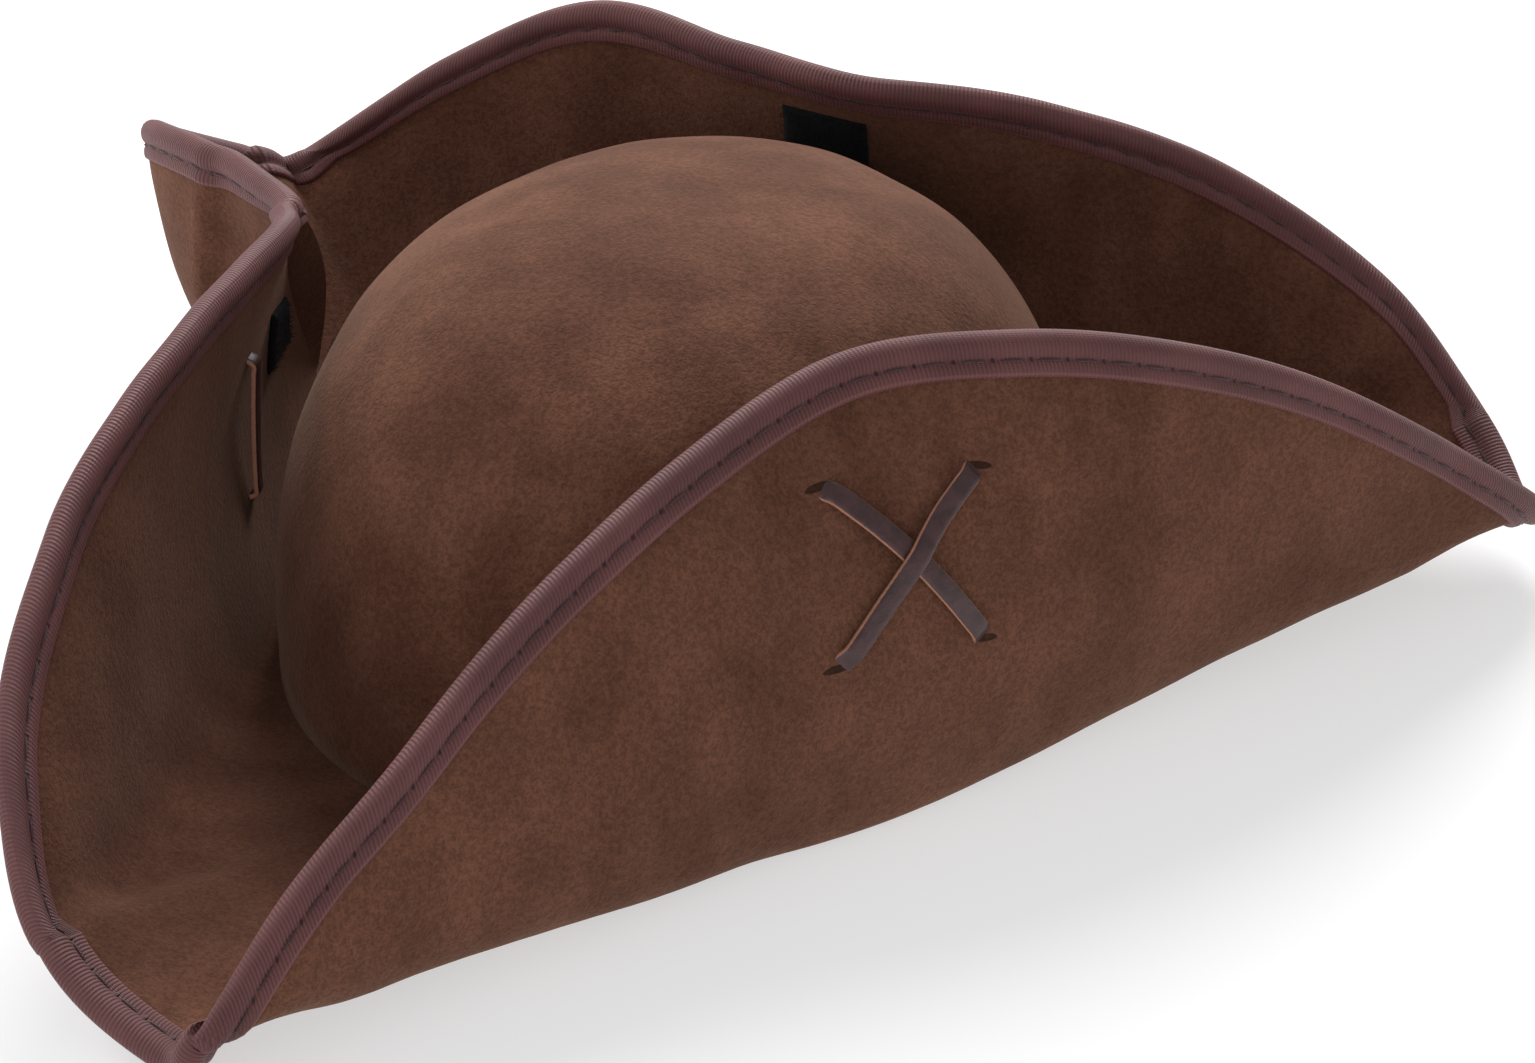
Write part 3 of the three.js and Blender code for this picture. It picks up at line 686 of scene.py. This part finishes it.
class HatSizes(bpy.types.PropertyGroup):
    """Sizes of the hat's small parts."""

    stitch_pitch: bpy.props.FloatProperty(
        name="Stitch pitch", description="Distance between the rim tape's stitches",
        default=STITCH_PITCH / 1000, min=0.004, max=0.02, unit="LENGTH", subtype="DISTANCE")
    lace_width: bpy.props.FloatProperty(
        name="Lace width", description="Width of the leather lace",
        default=0.0045, min=0.002, max=0.01, unit="LENGTH", subtype="DISTANCE")
    lace_thickness: bpy.props.FloatProperty(
        name="Lace thickness", description="Thickness of the leather lace",
        default=0.0013, min=0.0005, max=0.003, unit="LENGTH", subtype="DISTANCE")
    fibres: bpy.props.IntProperty(
        name="Fibres", description="Loose fibres on each fastener", default=420, min=0, max=3000)


# ---- Pieces ------------------------------------------------------------------------------------


def crown_ring(bearing, angle, inset, foot):
    """A point of the crown's shell: angle 0 at the foot and 90 degrees at the top."""
    across = max(math.cos(angle), 0.0) ** (2 / CROWN_ROUNDNESS)
    height = CROWN_HEIGHT - inset
    z = foot + (height - foot) * math.sin(angle) ** (2 / CROWN_ROUNDNESS)
    return polar(bearing, (crown_reach(bearing) - inset) * across, z)


def crown_shell(inset, foot, sides=180, rows=56):
    """One face of the crown, closed at the top and open at the foot."""
    rings = []
    for k in range(rows):
        angle = (k / rows) * math.pi / 2
        ring = []
        for i in range(sides):
            bearing = 2 * math.pi * i / sides
            p = crown_ring(bearing, angle, inset, foot)
            away = unit(np.array([p[0], p[1], max(p[2] - 30, 0) * 1.2]))
            sag = 1.3 * noise.noise(Vector(p) / 48) + 0.4 * noise.noise(Vector(p) / 17)
            ring.append(p + away * sag * smooth((p[2] - 6) / 25))
        rings.append(ring)
    points = [p for ring in rings for p in ring]
    faces = []
    for k in range(rows - 1):
        for i in range(sides):
            j = (i + 1) % sides
            faces.append((k * sides + i, k * sides + j, (k + 1) * sides + j, (k + 1) * sides + i))
    top = len(points)
    last = np.mean(rings[-1], axis=0)
    points.append(np.array([last[0], last[1], max(p[2] for p in rings[-1]) + 0.05]))
    base = (rows - 1) * sides
    faces += [(base + i, base + (i + 1) % sides, top) for i in range(sides)]
    return points, faces, sides


def hollow_shell(outer_inset, inner_inset, foot, sides=180, rows=56):
    """A crown-shaped wall between two insets, open at the foot."""
    outer, faces, _ = crown_shell(outer_inset, foot, sides, rows)
    inner, inner_faces, _ = crown_shell(inner_inset, foot, sides, rows)
    count = len(outer)
    faces = faces + [tuple(count + v for v in reversed(f)) for f in inner_faces]
    for i in range(sides):
        n = (i + 1) % sides
        faces.append((i, count + i, count + n, n))
    return outer + inner, faces


class HAT_OT_crown(bpy.types.Operator):
    """Moulded crown with its lining and sweatband"""

    bl_idname = "hat.make_crown"
    bl_label = "Crown"

    def execute(self, context):
        points, faces = hollow_shell(0.0, CROWN_WALL, CROWN_FOOT)
        crown = new_object("crown", points, faces, [suede()])
        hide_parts("crown_suede", "crown_stiffener")
        settle(crown, None)
        self.make_lining()
        self.make_sweatband()
        return {"FINISHED"}

    def make_lining(self):
        inset = CROWN_WALL + LINING_GAP
        points, faces = hollow_shell(inset, inset + LINING_WALL, CROWN_FOOT + 0.2, 120, 36)
        cloth = plain_cloth("lining_cloth", colours().lining, 900, 0.7)
        lining = new_object("crown_lining_cloth", points, faces, [cloth])
        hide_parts("crown_lining")
        settle(lining, None)

    def make_sweatband(self):
        profile = [
            (-0.9, 0), (-0.5, -0.35), (0.3, -0.3), (0.5, 0.4), (0.45, 4), (0.35, 15), (0.2, 29),
            (0.1, 30), (-0.5, 30.3), (-1.0, 29.8), (-0.9, 15), (-0.95, 4), (-1.0, 2.2),
        ]
        sides = 200
        points = []
        for i in range(sides):
            bearing = 2 * math.pi * i / sides
            for off, z in profile:
                wave = 0.25 * math.sin(7 * bearing) * z / 30
                reach = crown_reach(bearing) - BAND_INSET + off + wave - 0.035 * z
                points.append(polar(bearing, reach, CROWN_FOOT + BAND_LIFT + z))
        faces = strip_faces(sides, len(profile), ring=True, close_rows=True)
        satin = plain_cloth("band_satin", colours().lining, 1500, 0.45, 0.1)
        band = new_object("sweatband_satin", points, faces, [satin])
        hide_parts("sweatband")
        settle(band, None)


SHEET_NODES = ("outer_suede", "stiffener", "inner_suede")


class HAT_OT_brim(bpy.types.Operator):
    """Brim: the base that stays with the crown and the three flaps"""

    bl_idname = "hat.make_brim"
    bl_label = "Brim"

    def execute(self, context):
        self.make_base()
        for name, (first, last) in SPANS.items():
            self.make_flap(name, CURL[0] if name == "right" else first, last)
        return {"FINISHED"}

    def make_base(self):
        loops = []
        for i in range(len(BRIM.places)):
            points, normals = BRIM.sheet_rows(i, slice(0, BRIM.BASE_ROWS + 1))
            normals[0] = normals[1] = UP
            skirt = unit(points[0] * np.array([1, 1, 0])) * BRIM_SKIRT
            points = np.concatenate([[points[0] - skirt], points])
            loops.append(sheet_loop(points, np.concatenate([[UP], normals])))
        faces = strip_faces(len(loops), len(loops[0]), ring=True, close_rows=True)
        points = [p for loop in loops for p in loop]
        base = new_object("brim_base", points, [f[::-1] for f in faces], [suede()], 50)
        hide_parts(*(f"brim_base_{part}" for part in SHEET_NODES))
        settle(base, None)

    def make_flap(self, name, first, last):
        loops = []
        for i in BRIM.columns(first, last):
            k = i % len(BRIM.places)
            loops.append(sheet_loop(*BRIM.sheet_rows(k, slice(BRIM.BASE_ROWS, None))))
        faces = strip_faces(len(loops), len(loops[0]), close_rows=True, caps=True)
        points = [p for loop in loops for p in loop]
        flap = new_object(f"{name}_flap", points, [f[::-1] for f in faces], [suede()], 50)
        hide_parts(*(f"{name}_flap_{part}" for part in SHEET_NODES))
        settle(flap, name)


# Section of the rim tape: distance behind the rim and distance from the sheet's middle.
TAPE_SECTION = [
    (10.3, 1.2), (10.15, 2.0), (9.7, 2.45), (9.2, 2.6), (8.4, 2.62), (7.6, 2.55), (7.0, 2.3),
    (STITCH_LINE, 2.02), (6.0, 2.2), (5.4, 2.62), (4.6, 2.95), (3.6, 3.1), (2.6, 3.0),
    (1.6, 2.6), (0.8, 1.95), (0.25, 1.1), (0.0, 0.0),
]


# Each run of tape: its name, the flap it is settled with, its first and last place on the rim, and the
# stretches of the rim it binds.
TAPE_RUNS = [
    ("left", "left", 1, 12, ("left_flap",)),
    ("rear", "rear", 12, 22, ("left_corner", "rear_flap")),
    ("right", "right", 22, 32, ("right_corner", "right_flap")),
    ("front_corner", None, 32, 34, ("front_corner",)),
]


class HAT_OT_rim_tape(bpy.types.Operator):
    """Grosgrain tape folded over the rim, with its stitches"""

    bl_idname = "hat.make_rim_tape"
    bl_label = "Rim tape"

    def execute(self, context):
        for name, flap, first, last, covered in TAPE_RUNS:
            tape = self.make_tape(name, first, last)
            for stem in covered:
                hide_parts(f"{stem}_rim_tape", f"{stem}_rim_wire")
            settle(tape, flap)
            settle(self.make_stitches(name, first, last), flap)
        return {"FINISHED"}

    def make_tape(self, name, first, last):
        outline = TAPE_SECTION + [(b, -o) for b, o in reversed(TAPE_SECTION[:-1])]
        points, along, behind = [], [], []
        for i in BRIM.columns(first, last):
            run = BRIM.run(i)
            for back, off in outline:
                point, normal = BRIM.behind_rim(i, back)
                points.append(point + normal * off)
                along.append(run)
                behind.append(back)
        rows = len(outline)
        faces = strip_faces(len(points) // rows, rows, close_rows=True, caps=True)
        tape = new_object(f"{name}_rim_tape", points, [f[::-1] for f in faces], [grosgrain()], 60)
        name_points(tape, "along_mm", along)
        name_points(tape, "behind_mm", behind)
        return tape

    def make_stitches(self, name, first, last):
        pitch = bpy.context.scene.hat_sizes.stitch_pitch * 1000
        columns = np.array(BRIM.columns(first, last))
        runs = np.array([BRIM.run(i) for i in columns])
        begin, finish = runs[0], runs[-1]
        points, faces = [], []
        for side in (1, -1):
            for k in range(int((finish - begin) / pitch)):
                start = begin + (k + 0.12) * pitch
                seen = start + pitch * 0.76 * np.linspace(0, 1, 5)
                reached = np.interp(seen, runs, columns)
                self.add_stitch(points, faces, reached, side)
        thread = plain_cloth("thread", colours().thread, 2500, 0.6)
        return new_object(f"{name}_rim_stitches", points, faces, [thread])

    def add_stitch(self, points, faces, columns, side):
        """One thread, which comes out of the tape and goes back in."""
        first = len(points)
        heights = (1.7, 2.22, 2.3, 2.22, 1.7)
        sides = 6
        thickness = 0.26
        width = 0.3
        for place, height in zip(columns, heights):
            low = int(place)
            a, an = BRIM.behind_rim(low, STITCH_LINE)
            b, bn = BRIM.behind_rim(low + 1, STITCH_LINE)
            inner, _ = BRIM.behind_rim(low, STITCH_LINE + 1)
            f = place - low
            middle = a * (1 - f) + b * f
            normal = unit(an * (1 - f) + bn * f) * side
            back = unit(inner - a)
            for s in range(sides):
                angle = 2 * math.pi * s / sides
                lifted = normal * (height + thickness * math.sin(angle))
                points.append(middle + lifted + back * width * math.cos(angle))
        tube = strip_faces(len(heights), sides, close_rows=True, caps=True)
        faces.extend(tuple(first + v for v in face) for face in tube)


def turned(across, up, degrees):
    angle = math.radians(degrees)
    return across * math.cos(angle) - up * math.sin(angle), across * math.sin(angle) + up * math.cos(angle)


def lace_route(half_width, half_height, turn):
    """Places of the lace from the middle of its cross: along, up, and off the sheet.

    Both ends are held between the sheets at one pair of slits, and one upright run behind
    the flap joins the other pair."""
    outside = -(SHEET_HALF + 0.95)
    over = outside - 1.35
    inside = SHEET_HALF + 1.5
    crossing = (-0.985, -0.93, -0.85, -0.72, -0.45, -0.2, 0, 0.2, 0.45, 0.72, 0.85, 0.93, 0.985)

    def bow(part, middle):
        near = smooth(1 - abs(part) / 0.4)
        dip = smooth((abs(part) - 0.84) / 0.16)
        return (outside + (middle - outside) * near - 0.8 * (1 - part * part)) * (1 - 0.85 * dip)

    tail = [(1, -0.9, 0.7), (1, -0.97, 0.35), (1, -1, -0.3)]
    upright = [(-1, part, inside + 1.2 * (1 - part * part)) for part in (0.94, 0.8, 0.3, -0.3, -0.8, -0.94)]
    route = tail + [(-part, part, bow(part, outside)) for part in crossing]
    route += [(-1, 1, 0.3), *upright, (-1, -1, 0.3)]
    route += [(part, part, bow(part, over)) for part in crossing]
    route += [(across, -up, off) for across, up, off in reversed(tail)]
    return [(*turned(across * half_width, up * half_height, turn), off) for across, up, off in route]


def spline(points, per):
    """Curve through points, with some steps between each and the next."""
    last = len(points) - 1
    out = []
    for i in range(last):
        around = [points[min(max(i + k, 0), last)] for k in (-1, 0, 1, 2)]
        for k in range(per + (i == last - 1)):
            out.append(catmull_rom(*around, k / per))
    return np.array(out)


# Section of the lace: part of its half width and half thickness, and how raw the face is.
LACE_SECTION = [
    (-1.0, -0.7, 1.0), (-1.04, 0.0, 1.0), (-1.0, 0.72, 0.9), (-0.93, 1.0, 0.25), (-0.5, 1.08, 0.0),
    (0, 1.1, 0.0), (0.5, 1.08, 0.0), (0.93, 1.0, 0.25), (1.0, 0.72, 0.9), (1.04, 0.0, 1.0),
    (1.0, -0.7, 1.0), (0.85, -1.0, 0.3), (0, -1.0, 0.3), (-0.85, -1.0, 0.3),
]


class HAT_OT_laces(bpy.types.Operator):
    """Leather laces crossed on two flaps, and painted shade over the slits they pass through"""

    bl_idname = "hat.make_laces"
    bl_label = "Laces"

    def execute(self, context):
        for name in LACES:
            lace = self.make_lace(name, *LACES[name])
            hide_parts(f"{name}_flap_lace")
            settle(lace, name)
            settle(self.make_slit_shade(name, *LACES[name]), name)
        return {"FINISHED"}

    def make_lace(self, name, centre, half_width, half_height, turn):
        sizes = bpy.context.scene.hat_sizes
        half_lace = sizes.lace_width * 500
        half_thick = sizes.lace_thickness * 500
        route = lace_route(half_width, half_height, turn)
        placed = [BRIM.beside(centre, *where) for where in route]
        path = spline(np.array([p for p, _ in placed]), 6)
        facing = spline(np.array([n for _, n in placed]), 6)
        count = len(path)
        points, raw = [], []
        before = None
        for i in range(count):
            heading = unit(path[min(i + 1, count - 1)] - path[max(i - 1, 0)])
            normal = unit(facing[i])
            width = np.cross(normal, heading)
            if np.linalg.norm(width) < 0.55:
                width = np.cross(UP, normal)
            width = unit(width - heading * (width @ heading))
            if before is not None and width @ before < 0:
                width = -width
            before = width
            thick = unit(np.cross(heading, width))
            if i == 0:
                smooth_side = -1.0 if thick @ normal > 0 else 1.0
            for across, high, rawness in LACE_SECTION:
                rise = thick * smooth_side * high * half_thick
                points.append(path[i] + width * across * half_lace - rise)
                raw.append(rawness)
        faces = strip_faces(count, len(LACE_SECTION), close_rows=True, caps=True)
        lace = new_object(f"{name}_lace", points, faces, [lace_leather()], 50)
        name_points(lace, "raw_edge", raw)
        return lace

    def make_slit_shade(self, name, centre, half_width, half_height, turn):
        """Painted shade: dark suede lips and discs over the four slits, on the faces of the sheet where
        they come through.
        """
        points, faces = [], []
        lips = 20
        for side in (-1, 1):
            for end in (-1, 1):
                for face in (-1, 1) if side < 0 else (-1,):
                    first = len(points)
                    for grow, off in ((1.25, 0.02), (1.0, 0.16), (0.75, 0.08)):
                        for k in range(lips):
                            angle = 2 * math.pi * k / lips
                            across = side * half_width + SLIT_HALF_WIDTH * grow * math.cos(angle)
                            up = end * half_height * 0.985 + SLIT_HALF_HEIGHT * grow * math.sin(angle)
                            place = turned(across, up, turn)
                            points.append(BRIM.beside(centre, *place, face * (SHEET_HALF + off))[0])
                    for ring in range(2):
                        for k in range(lips):
                            n = (k + 1) % lips
                            low, high = first + ring * lips, first + (ring + 1) * lips
                            faces.append((low + k, low + n, high + n, high + k))
                    faces.append(tuple(first + 2 * lips + k for k in range(lips)))
        # The suede copy darkened to 0.3 is painted shade over the slit openings.
        return new_object(f"{name}_lace_slit_shade", points, faces, [suede("slit_suede", 0.3)])


class HAT_OT_fasteners(bpy.types.Operator):
    """Hook-and-loop patches between the flaps and the crown"""

    bl_idname = "hat.make_fasteners"
    bl_label = "Fasteners"

    def execute(self, context):
        for seed, (name, (centre, half)) in enumerate(FASTENERS.items()):
            def on_flap(u, v, off):
                return BRIM.beside(centre, u * half, v * half, SHEET_HALF + off)

            facing = BRIM.on_flap(*centre, 0)[0]

            def on_crown(u, v, off):
                bearing = math.atan2(facing[1], facing[0])
                bearing += u * half / crown_reach(bearing)
                height = facing[2] - 4 + v * half * 0.8
                share = (height - CROWN_FOOT) / (CROWN_HEIGHT - CROWN_FOOT)
                angle = math.asin(min(max(share, 0.01), 0.99) ** (CROWN_ROUNDNESS / 2))
                point = crown_ring(bearing, angle, 0, CROWN_FOOT)
                above = crown_ring(bearing, angle + 0.02, 0, CROWN_FOOT)
                side = crown_ring(bearing + 0.02, angle, 0, CROWN_FOOT)
                normal = unit(np.cross(side - point, above - point))
                return point + normal * (off + 0.4), normal

            loop = self.make_patch(f"{name}_loop_patch", on_flap, seed)
            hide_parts(f"{name}_flap_loop_patch")
            settle(loop, name)
            hook = self.make_patch(f"{name}_hook_patch", on_crown, seed + 10)
            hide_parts(f"crown_hook_patch_{name}")
            settle(hook, None)
        return {"FINISHED"}

    def make_patch(self, name, surface, seed):
        """A square pad with rounded edges and loose fibres."""
        steps = 14
        rng = random.Random(seed)
        points, faces = [], []
        for face in (1, 0):
            for i in range(steps + 1):
                for k in range(steps + 1):
                    u, v = 2 * i / steps - 1, 2 * k / steps - 1
                    edge = max(abs(u), abs(v))
                    high = 1.6 - 0.9 * smooth((edge - 0.8) / 0.2) + rng.uniform(-0.12, 0.12)
                    points.append(surface(u, v, high if face else 0.05)[0])
        n = steps + 1
        for side, flip in ((0, False), (1, True)):
            for i in range(steps):
                for k in range(steps):
                    corners = ((i, k), (i + 1, k), (i + 1, k + 1), (i, k + 1))
                    quad = [side * n * n + a * n + b for a, b in corners]
                    faces.append(tuple(reversed(quad)) if flip else tuple(quad))
        rim = [(i, 0) for i in range(n)] + [(steps, k) for k in range(1, n)]
        rim += [(i, steps) for i in reversed(range(steps))] + [(0, k) for k in reversed(range(1, steps))]
        for a, b in zip(rim, rim[1:] + rim[:1]):
            top_a, top_b = a[0] * n + a[1], b[0] * n + b[1]
            faces.append((top_b, top_a, n * n + top_a, n * n + top_b))
        for _ in range(bpy.context.scene.hat_sizes.fibres):
            self.add_fibre(points, faces, surface, rng)
        return new_object(name, points, faces, [fuzzy_pile()])

    def add_fibre(self, points, faces, surface, rng):
        """One bent three-sided thread that stands up from the pad."""
        u, v = rng.uniform(-1, 1), rng.uniform(-1, 1)
        root, normal = surface(u, v, 1.3)
        lean = unit(np.array([rng.gauss(0, 1) for _ in range(3)]) + normal * 0.9)
        turn = unit(np.array([rng.gauss(0, 1) for _ in range(3)]))
        length = rng.uniform(0.8, 2.0)
        wide = unit(np.cross(lean, turn)) * 0.07
        thick = unit(np.cross(wide, lean)) * 0.06
        first = len(points)
        spine = [root, root + lean * length * 0.5, root + lean * length * 0.8 + turn * length * 0.25]
        for k, p in enumerate(spine):
            taper = 1 - 0.3 * k
            points.extend([p - wide * taper, p + wide * taper, p + thick * taper])
        for k in range(2):
            low, high = first + 3 * k, first + 3 * k + 3
            for a, b in ((0, 1), (1, 2), (2, 0)):
                faces.append((low + a, low + b, high + b, high + a))
        faces.append((first + 2, first + 1, first))
        faces.append((first + 6, first + 7, first + 8))


# ---- Stage -----------------------------------------------------------------------------------------


class HAT_OT_stage(bpy.types.Operator):
    """Pale floor, soft lights and camera"""

    bl_idname = "hat.make_stage"
    bl_label = "Stage"

    def execute(self, context):
        scene = context.scene
        self.make_floor()
        self.make_lights(scene)
        target = Vector((0.01718, 0.00902, 0.02303))
        azimuth, elevation = math.radians(22.66), math.radians(27.48)
        level = math.cos(elevation)
        back = Vector((math.sin(azimuth) * level, -math.cos(azimuth) * level, math.sin(elevation)))
        data = bpy.data.cameras.new("view")
        data.sensor_width = 36
        data.lens = 103.2954
        data.clip_start, data.clip_end = 0.05, 20
        camera = bpy.data.objects.new("view", data)
        camera.location = target + back
        camera.rotation_mode = "QUATERNION"
        camera.rotation_quaternion = (-back).to_track_quat("-Z", "Y")
        scene.collection.objects.link(camera)
        scene.camera = camera
        scene.view_settings.view_transform = "Standard"
        return {"FINISHED"}

    def make_floor(self):
        reach = 3000
        points = [(x * reach, y * reach, -0.3) for x, y in ((-1, -1), (1, -1), (1, 1), (-1, 1))]
        g = Graph("floor", Roughness=0.9, Specular_IOR_Level=0.1,
                  Emission_Color=(1.0, 1.0, 1.0, 1.0), Emission_Strength=0.55)
        tone = g.between(g.cloud(6, 2), 0.2, 0.8)
        g.feed("Base Color", g.mix(tone, rgba(colours().floor), rgba(colours().floor, 1.02)))
        floor = new_object("floor", points, [(0, 1, 2, 3)], [g.material])

    def make_lights(self, scene):
        world = bpy.data.worlds.new("studio")
        world.use_nodes = True
        sky = world.node_tree.nodes["Background"]
        sky.inputs["Color"].default_value = (1.0, 1.0, 1.0, 1.0)
        sky.inputs["Strength"].default_value = 0.46
        scene.world = world
        for name, place, aim, size, power in (
            ("overhead", (-0.3, 1.15, 1.15), (0, 0, 0.05), 0.9, 30),
            ("left_window", (-1.3, -0.2, 1.0), (0, 0, 0.04), 0.9, 11),
            ("front_fill", (0.3, -1.6, 0.55), (0, 0, 0.05), 1.0, 6),
        ):
            data = bpy.data.lights.new(name, "AREA")
            data.shape = "DISK"
            data.size = size
            data.energy = power
            lamp = bpy.data.objects.new(name, data)
            lamp.location = place
            lamp.rotation_mode = "QUATERNION"
            lamp.rotation_quaternion = (Vector(aim) - Vector(place)).to_track_quat("-Z", "Y")
            scene.collection.objects.link(lamp)


class HAT_PT_panel(bpy.types.Panel):
    """Hat tools in the 3D view's sidebar"""

    bl_label = "Tricorn Hat"
    bl_idname = "HAT_PT_panel"
    bl_space_type = "VIEW_3D"
    bl_region_type = "UI"
    bl_category = "Hat"

    def draw(self, context):
        for group in (context.scene.hat_sizes, context.scene.hat_colours):
            for key in group.__annotations__:
                self.layout.prop(group, key)
        for operator in OPERATORS:
            self.layout.operator(operator.bl_idname)


OPERATORS = (HAT_OT_stage, HAT_OT_crown, HAT_OT_brim, HAT_OT_rim_tape, HAT_OT_laces, HAT_OT_fasteners)
CLASSES = (HatColours, HatSizes, *OPERATORS, HAT_PT_panel)


def register():
    for cls in CLASSES:
        bpy.utils.register_class(cls)
    bpy.types.Scene.hat_colours = bpy.props.PointerProperty(type=HatColours)
    bpy.types.Scene.hat_sizes = bpy.props.PointerProperty(type=HatSizes)


def unregister():
    del bpy.types.Scene.hat_sizes
    del bpy.types.Scene.hat_colours
    for cls in reversed(CLASSES):
        bpy.utils.unregister_class(cls)


def main():
    register()
    bpy.ops.hat.make_stage()
    bpy.ops.hat.make_crown()
    bpy.ops.hat.make_brim()
    bpy.ops.hat.make_rim_tape()
    bpy.ops.hat.make_laces()
    bpy.ops.hat.make_fasteners()


if __name__ == "__main__":
    main()
